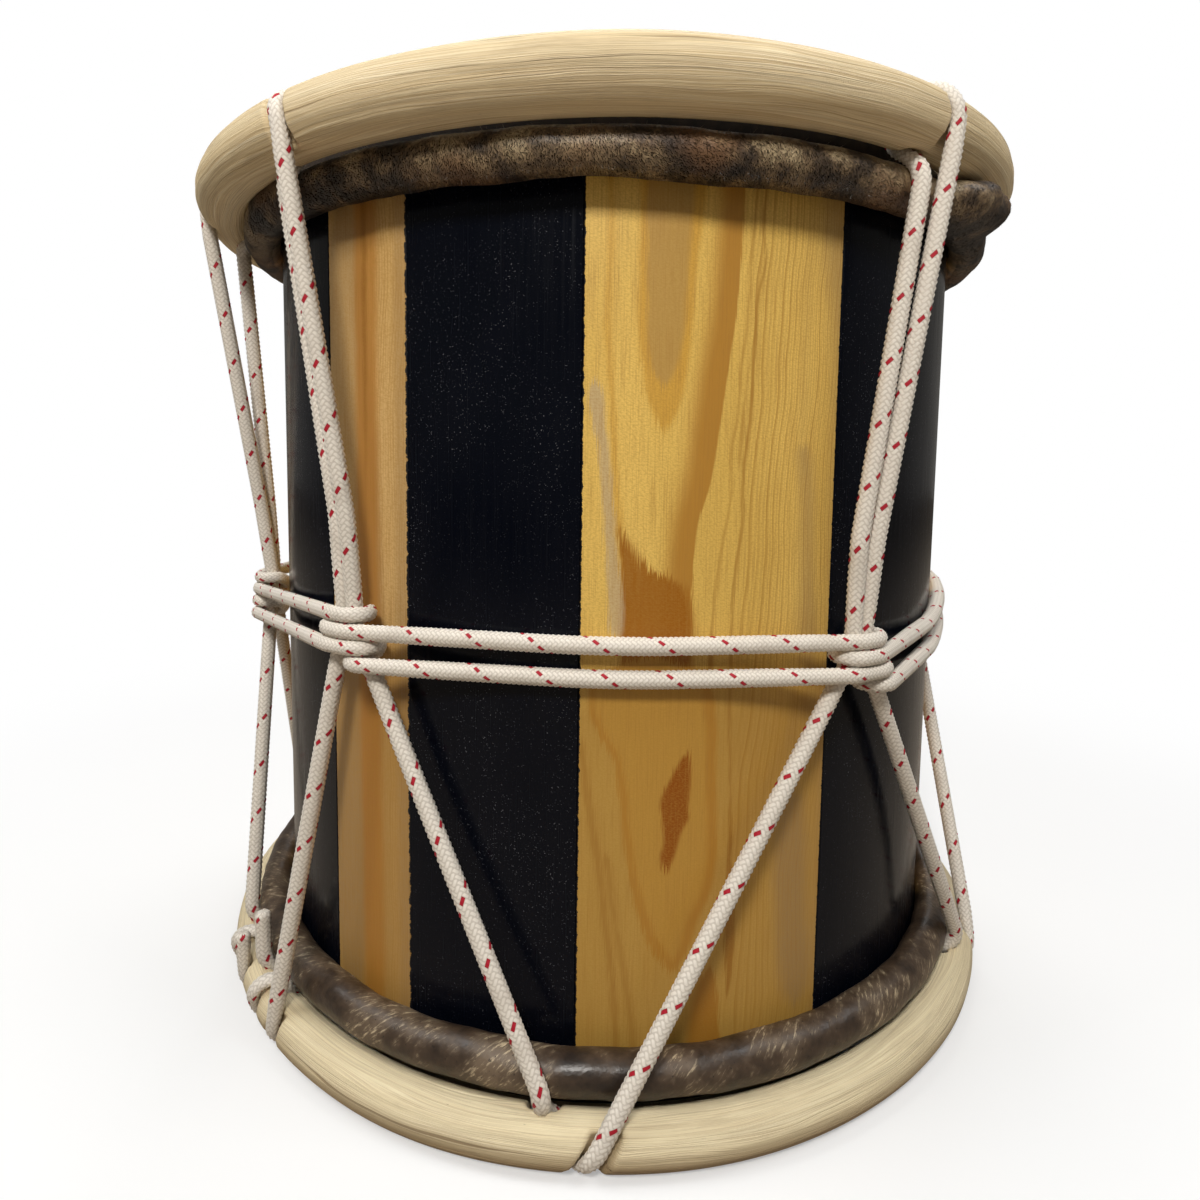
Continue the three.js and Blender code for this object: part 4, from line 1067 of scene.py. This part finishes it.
def vine_material(name, grooved, pale):
    """Peeled vine; grooved is the span of the section, in mm, where its grooves are deep and darkened with painted
    shade. Pale makes the vine a paler, painted lit copy, and brings a band of painted shade on its underside.
    """
    shader = Shader(name, (0.70, 0.60, 0.40), 0.55, Specular_IOR_Level=0.4)
    place_x, place_y, _ = shader.split(shader.place())
    from_groove, to_groove = grooved
    section = shader.math("MULTIPLY", shader.split(shader.uv())[1], 1 / MM)

    def along(stretch, across, seed, detail, roughness=0.55, shift=None):
        line = section if shift is None else shift
        spot = shader.join(
            shader.math("MULTIPLY", place_x, stretch), shader.math("MULTIPLY", place_y, stretch),
            shader.math("MULTIPLY_ADD", line, across, seed))
        return shader.noise(spot, 1.0, detail, roughness)

    wander = along(14.0, 0.10, 1.0, 2.0)
    wandered = shader.math("MULTIPLY_ADD", shader.math("SUBTRACT", wander, 0.5), 5.0, section)
    fibres = along(12.0, 3.2, 20.0, 3.0, 0.6, wandered)
    threads = along(34.0, 8.5, 50.0, 2.0, 0.5, wandered)
    grooves = along(8.0, 0.85, 90.0, 3.0, 0.5, wandered)
    stains = along(30.0, 0.16, 130.0, 4.0, 0.6)
    nicks = along(260.0, 2.6, 170.0, 2.0)
    colour = shader.ramp(fibres, [(0.30, (0.52, 0.37, 0.19)), (0.46, (0.71, 0.56, 0.325)), (0.68, (0.83, 0.71, 0.48))])
    # Painted light: pale lightens the whole vine, a lit copy of the same vine
    colour = shader.mix(pale, colour, (0.90, 0.80, 0.55))
    # Painted shade: the underside of the section darker, its strength set by pale, so only on the bottom hoop
    underside_shade = shader.range(section, from_groove - 1.5, to_groove - 4.5, 0.0, 1.6 * pale)
    colour = shader.mix(underside_shade, colour, (0.36, 0.245, 0.12))
    colour = shader.mix(shader.range(threads, 0.52, 0.36, 0.0, 0.45), colour, (0.44, 0.31, 0.18))
    deep = shader.math("MULTIPLY", shader.range(section, from_groove - 2, from_groove + 2, 0.25, 1.0),
                       shader.range(section, to_groove + 2, to_groove - 2, 0.25, 1.0))
    # Painted shade in the grooves, strongest over the grooved span
    groove = shader.math("MULTIPLY", shader.range(grooves, 0.40, 0.33), deep)
    colour = shader.mix(shader.math("MULTIPLY", groove, 0.7), colour, (0.24, 0.16, 0.08))
    colour = shader.mix(shader.range(stains, 0.52, 0.76, 0.0, 0.42), colour, (0.43, 0.32, 0.18))
    colour = shader.mix(shader.range(nicks, 0.73, 0.80, 0.0, 0.6), colour, (0.20, 0.14, 0.07))
    # Painted shade in the rope's notches, under the rope, along with the stain the rope leaves there
    cut = shader.node("Attribute", attribute_name="cut").outputs["Fac"]
    colour = shader.mix(shader.range(cut, 0.15, 0.7, 0.0, 0.8), colour, (0.34, 0.245, 0.13))
    height = shader.math("ADD", fibres, shader.math("MULTIPLY", threads, 0.5))
    height = shader.math("SUBTRACT", height, shader.math("MULTIPLY", groove, 0.5))
    rough = shader.range(fibres, 0.3, 0.7, 0.68, 0.52)
    return shader.finish(colour, rough, shader.bump(height, 0.0007, 0.6))


def rope_material(name, colour, deep):
    shader = Shader(name, colour, 0.6, Specular_IOR_Level=0.35)
    u, v, _ = shader.split(shader.uv())
    filaments = shader.noise(shader.join(shader.math("MULTIPLY", u, 9.0), shader.math("MULTIPLY", v, 0.7)), 1.0, 2.0)
    grime = shader.noise(shader.place(), 70.0, 3.0, 0.6)
    crevice_shade = shader.node("Attribute", attribute_name="crevice_shade").outputs["Fac"]
    # Painted shade: darker in the braid's crevices and between its filaments, in the deep colour that also tints the
    # grime
    shade = shader.range(crevice_shade, 0.45, 1.0, 0.0, 0.42)
    shade = shader.math("MAXIMUM", shade, shader.range(filaments, 0.35, 0.2, 0.0, 0.3))
    tint = shader.mix(shade, colour, deep)
    tint = shader.mix(shader.range(grime, 0.5, 0.8, 0.0, 0.3), tint, deep)
    return shader.finish(tint, None, shader.bump(filaments, 0.0003, 0.5))


FUR_STOPS = [
    (0.05, (0.020, 0.013, 0.009)),
    (0.32, (0.072, 0.047, 0.027)),
    (0.52, (0.19, 0.128, 0.07)),
    (0.74, (0.41, 0.315, 0.185)),
    (0.96, (0.68, 0.585, 0.42)),
]


def leather_material():
    """Bare hide of the lower roll: dark, a little shiny, with pale slanting scuffs and dark dots."""
    shader = Shader("goat_hide_bare_roll", (0.03, 0.02, 0.014), 0.4, Specular_IOR_Level=0.45)
    u, v, _ = shader.split(shader.uv())
    slant = shader.math("ADD", u, v)
    beside = shader.math("SUBTRACT", v, u)
    broad = shader.noise(shader.place(), 55.0, 4.0, 0.65)
    scuffs = shader.noise(shader.join(shader.math("MULTIPLY", slant, 0.13), shader.math("MULTIPLY", beside, 0.6), 3.0),
                          1.0, 4.0, 0.7)
    dots = shader.noise(shader.join(u, v, 9.0), 0.9, 2.0)
    creases = shader.noise(shader.place(), 420.0, 3.0, 0.6)
    colour = shader.ramp(broad, [(0.34, (0.020, 0.013, 0.009)), (0.5, (0.060, 0.038, 0.023)), (0.68, (0.15, 0.105, 0.066))])
    pale = shader.math("MULTIPLY", shader.range(scuffs, 0.51, 0.68), shader.range(broad, 0.46, 0.64))
    colour = shader.mix(shader.math("MULTIPLY", pale, 0.9), colour, (0.56, 0.45, 0.29))
    colour = shader.mix(shader.range(dots, 0.66, 0.72, 0.0, 0.8), colour, (0.02, 0.014, 0.01))
    return shader.finish(colour, shader.range(broad, 0.35, 0.65, 0.32, 0.5), shader.bump(creases, 0.0004, 0.5))


# Painted shade: a near-black hide for the collar and the roll's inner side, tucked under the hoop where shade falls
def tucked_shade_material():
    shader = Shader("goat_hide_tucked_painted_shade", (0.016, 0.011, 0.008), 0.7, Specular_IOR_Level=0.2)
    tone = shader.noise(shader.place(), 300.0, 3.0)
    return shader.finish(shader.ramp(tone, [(0.3, (0.012, 0.008, 0.006)), (0.7, (0.035, 0.024, 0.016))]))


def fur_material(name, brightness, with_tone):
    shader = Shader(name, (0.10, 0.07, 0.04), 0.5)
    place = shader.place()
    patches = shader.noise(place, 80.0, 4.0, 0.62)
    broad = shader.noise(place, 30.0, 2.0)
    mottle = shader.math("ADD", shader.math("MULTIPLY", patches, 0.65), shader.math("MULTIPLY", broad, 0.35))
    mottle = shader.range(mottle, 0.40, 0.60)
    if with_tone:
        # Each hair's tone holds its random tone and the painted light and shade of its side of the roll
        tone = shader.node("Attribute", attribute_name="tone").outputs["Fac"]
        value = shader.math("ADD", shader.math("MULTIPLY", tone, 0.28), shader.math("MULTIPLY", mottle, 0.66))
    else:
        strands = shader.noise(place, 1500.0, 2.0)
        value = shader.math("ADD", shader.math("MULTIPLY", strands, 0.5), shader.math("MULTIPLY", mottle, 0.56))
        # Painted light and shade: the roll lighter on its upper side and darker on its underside, read from the UV
        # round the roll
        round_roll = shader.split(shader.uv())[1]
        value = shader.math("ADD", value, shader.range(round_roll, 31.0, 26.0, 0.0, 0.32))
        value = shader.math("SUBTRACT", value, shader.range(round_roll, 32.0, 40.0, 0.0, 0.16))
    value = shader.math("ADD", value, brightness)
    colour = shader.ramp(value, FUR_STOPS)
    ginger = shader.noise(place, 24.0, 2.0)
    colour = shader.mix(shader.range(ginger, 0.53, 0.68, 0.0, 0.55), colour, (0.24, 0.115, 0.045))
    if with_tone:
        return shader.finish(colour)
    folds = shader.noise(place, 260.0, 4.0, 0.6)
    return shader.finish(colour, None, shader.bump(folds, 0.0006, 0.6))


def membrane_material():
    shader = Shader("goat_hide_membrane", (0.58, 0.47, 0.32), 0.45, Sheen_Weight=0.1)
    place = shader.place()
    cloud = shader.noise(place, 14.0, 4.0, 0.6)
    veins = shader.noise(place, 38.0, 5.0, 0.7, 1.2)
    pores = shader.noise(place, 1400.0, 2.0)
    colour = shader.ramp(cloud, [(0.3, (0.44, 0.33, 0.20)), (0.5, (0.60, 0.49, 0.33)), (0.72, (0.68, 0.58, 0.42))])
    thread = shader.math("ABSOLUTE", shader.math("SUBTRACT", veins, 0.5))
    colour = shader.mix(shader.range(thread, 0.014, 0.0, 0.0, 0.3), colour, (0.30, 0.19, 0.10))
    spots = shader.noise(place, 7.0, 3.0, 0.7)
    colour = shader.mix(shader.range(spots, 0.56, 0.74, 0.0, 0.6), colour, (0.24, 0.16, 0.09))
    height = shader.math("ADD", shader.math("MULTIPLY", cloud, 2.0), shader.math("MULTIPLY", pores, 0.2))
    return shader.finish(colour, shader.range(cloud, 0.3, 0.7, 0.38, 0.55), shader.bump(height, 0.0006, 0.5))


def bent_wood_material():
    shader = Shader("flesh_hoop_bent_wood", (0.42, 0.29, 0.14), 0.6)
    place = shader.place()
    grain = shader.noise(place, 180.0, 4.0, 0.6)
    colour = shader.ramp(grain, [(0.3, (0.30, 0.19, 0.08)), (0.7, (0.50, 0.36, 0.18))])
    return shader.finish(colour, None, shader.bump(grain, 0.0003, 0.4))


# ---- The drum

black_paint = black_material()
stave_width = [math.radians((STAVE_EDGES + [STAVE_EDGES[0] + 360])[i + 1] - edge) * SHELL_RADIUS
               for i, edge in enumerate(STAVE_EDGES)]
PINE_LOOKS = {
    1: dict(centre=-46.0, tip=120.0, ring_length=70.0, ring_width=13.0, seed=2.0,
            figures=LEFT_FIGURES, rings_from=24.0, base=LEFT_BASE),
    3: dict(centre=22.0, tip=220.0, ring_length=52.0, ring_width=13.0, seed=0.0,
            figures=FRONT_FIGURES, rings_from=47.0),
    5: dict(centre=70.0, tip=90.0, ring_length=60.0, ring_width=14.0, seed=11.0),
    7: dict(centre=30.0, tip=150.0, ring_length=45.0, ring_width=12.0, seed=23.0),
    9: dict(centre=-20.0, tip=60.0, ring_length=66.0, ring_width=15.0, seed=31.0),
    11: dict(centre=34.0, tip=260.0, ring_length=-50.0, ring_width=12.5, seed=47.0),
    13: dict(centre=90.0, tip=180.0, ring_length=58.0, ring_width=13.5, seed=53.0),
}
for i, start in enumerate(STAVE_EDGES):
    end = (STAVE_EDGES + [STAVE_EDGES[0] + 360])[i + 1]
    number = i + 1
    if number in PINE_LOOKS:
        wood = pine_material(f"natural_pine_{number:02d}", stave_width[i], **PINE_LOOKS[number])
        stave_piece(number, start, end, wood)
    else:
        stave_piece(number, start, end, black_paint)

top_vine = vine_material("peeled_vine_top", (28.0, 46.0), 0.0)
# The bottom hoop's vine is a paler, painted lit copy of the top hoop's, with painted shade on its underside
low_vine = vine_material("peeled_vine_bottom", (21.5, 33.0), 0.55)
hoop_piece("top_counter_hoop_vine", TOP_HOOP, top_crossings, top_vine, "top_counter_hoop", 3)
bottom_wraps = [*start_wraps, *bottom_crossings, *end_wraps]
hoop_piece("bottom_counter_hoop_vine", BOTTOM_HOOP, bottom_wraps, low_vine, "bottom_counter_hoop", 7)

membrane = membrane_material()
tucked = tucked_shade_material()
furry = fur_material("goat_hide_roll", -0.12, False)
head_piece("top_head_hide", 1, [membrane, furry, tucked], "top_head", 11)
head_piece("bottom_head_hide", -1, [membrane, leather_material(), tucked], "bottom_head", 21)
fur_piece("top_head_hair", 1, 195000, 0.85, fur_material("goat_hide_hair", -0.17, True), 5, top_crossings)

# The second colour of each braid is its painted crevice shade, also used for the grime
braid = [rope_material("white_rope_braid", (0.83, 0.77, 0.685), (0.36, 0.29, 0.22)),
         rope_material("white_rope_tracer", (0.44, 0.006, 0.022), (0.20, 0.003, 0.010))]
rope_piece("lacing_rope_braid", lacing_stations(), 1.8, LACING_WIDEST, LACING_CARRIERS, braid, "lacing_rope")
rope_piece("tie_rope_braid", tie_stations(), 1.1, TIE_WIDEST, TIE_CARRIERS, braid, "tie_rope")

wood = bent_wood_material()
for node in ("top_flesh_hoop", "bottom_flesh_hoop"):
    for slot in bpy.data.objects[node].material_slots:
        slot.material = wood

# ---- Floor, light and view

FLOOR_SIZE = 6.0
WHITE_FROM = 0.55
floor_mesh = bpy.data.meshes.new("floor")
half = FLOOR_SIZE / 2
floor_mesh.from_pydata([(-half, -half, 0), (half, -half, 0), (half, half, 0), (-half, half, 0)], [], [(0, 1, 2, 3)])
floor_shader = Shader("floor_paper", (0.86, 0.86, 0.86), 0.9)
floor_tone = floor_shader.noise(floor_shader.place(), 3.0, 2.0)
paper = floor_shader.ramp(floor_tone, [(0.3, (0.90, 0.90, 0.90)), (0.7, (0.93, 0.93, 0.93))])
seen = floor_shader.node("LightPath").outputs["Is Camera Ray"]
floor_mesh.materials.append(floor_shader.finish(floor_shader.mix(seen, (0.34, 0.29, 0.235), paper)))
from_middle = floor_shader.node("VectorMath", {0: floor_shader.place()}, operation="LENGTH").outputs["Value"]
faded = floor_shader.math("MULTIPLY", seen, floor_shader.range(from_middle, 0.16, WHITE_FROM, 0.35, 1.0))
faded = floor_shader.math("MULTIPLY", faded, floor_shader.range(from_middle, 0.150, 0.156))
glow = floor_shader.node("Emission", {"Color": (1, 1, 1, 1), "Strength": 1.0}).outputs[0]
floor_blend = floor_shader.node("MixShader", {0: faded, 1: floor_shader.surface.outputs[0], 2: glow})
floor_output = floor_shader.tree.nodes["Material Output"]
floor_shader.tree.links.new(floor_blend.outputs[0], floor_output.inputs["Surface"])
floor = bpy.data.objects.new("floor", floor_mesh)
bpy.context.scene.collection.objects.link(floor)


def add_lamp(name, place, target, size, power, tint):
    data = bpy.data.lights.new(name, "AREA")
    data.shape = "SQUARE"
    data.size = size
    data.energy = power
    data.color = tint
    lamp = bpy.data.objects.new(name, data)
    lamp.location = place
    direction = Vector(target) - Vector(place)
    lamp.rotation_euler = direction.to_track_quat("-Z", "Y").to_euler()
    lamp.visible_camera = False
    bpy.context.scene.collection.objects.link(lamp)


add_lamp("key", (-0.10, -0.68, 0.72), (0, 0, 0.15), 0.14, 4.7, (1.0, 0.975, 0.93))
add_lamp("right", (0.7, -0.3, 1.1), (0, 0, 0.15), 0.5, 4.5, (0.95, 0.975, 1.0))
add_lamp("left", (-0.7, -0.2, 1.1), (0, 0, 0.15), 0.5, 5.2, (0.95, 0.975, 1.0))
add_lamp("rear", (0.1, 0.8, 1.0), (0, 0, 0.2), 0.8, 8.0, (1.0, 1.0, 1.0))

world = bpy.data.worlds.new("studio")
world.use_nodes = True
tree = world.node_tree
surround = tree.nodes["Background"]
surround.inputs["Color"].default_value = (1.0, 0.95, 0.87, 1)
surround.inputs["Strength"].default_value = 0.18
white = tree.nodes.new("ShaderNodeBackground")
white.inputs["Color"].default_value = (1, 1, 1, 1)
rays = tree.nodes.new("ShaderNodeLightPath")
blend = tree.nodes.new("ShaderNodeMixShader")
tree.links.new(rays.outputs["Is Camera Ray"], blend.inputs[0])
tree.links.new(surround.outputs[0], blend.inputs[1])
tree.links.new(white.outputs[0], blend.inputs[2])
tree.links.new(blend.outputs[0], tree.nodes["World Output"].inputs[0])
bpy.context.scene.world = world
bpy.context.scene.view_settings.view_transform = "Standard"
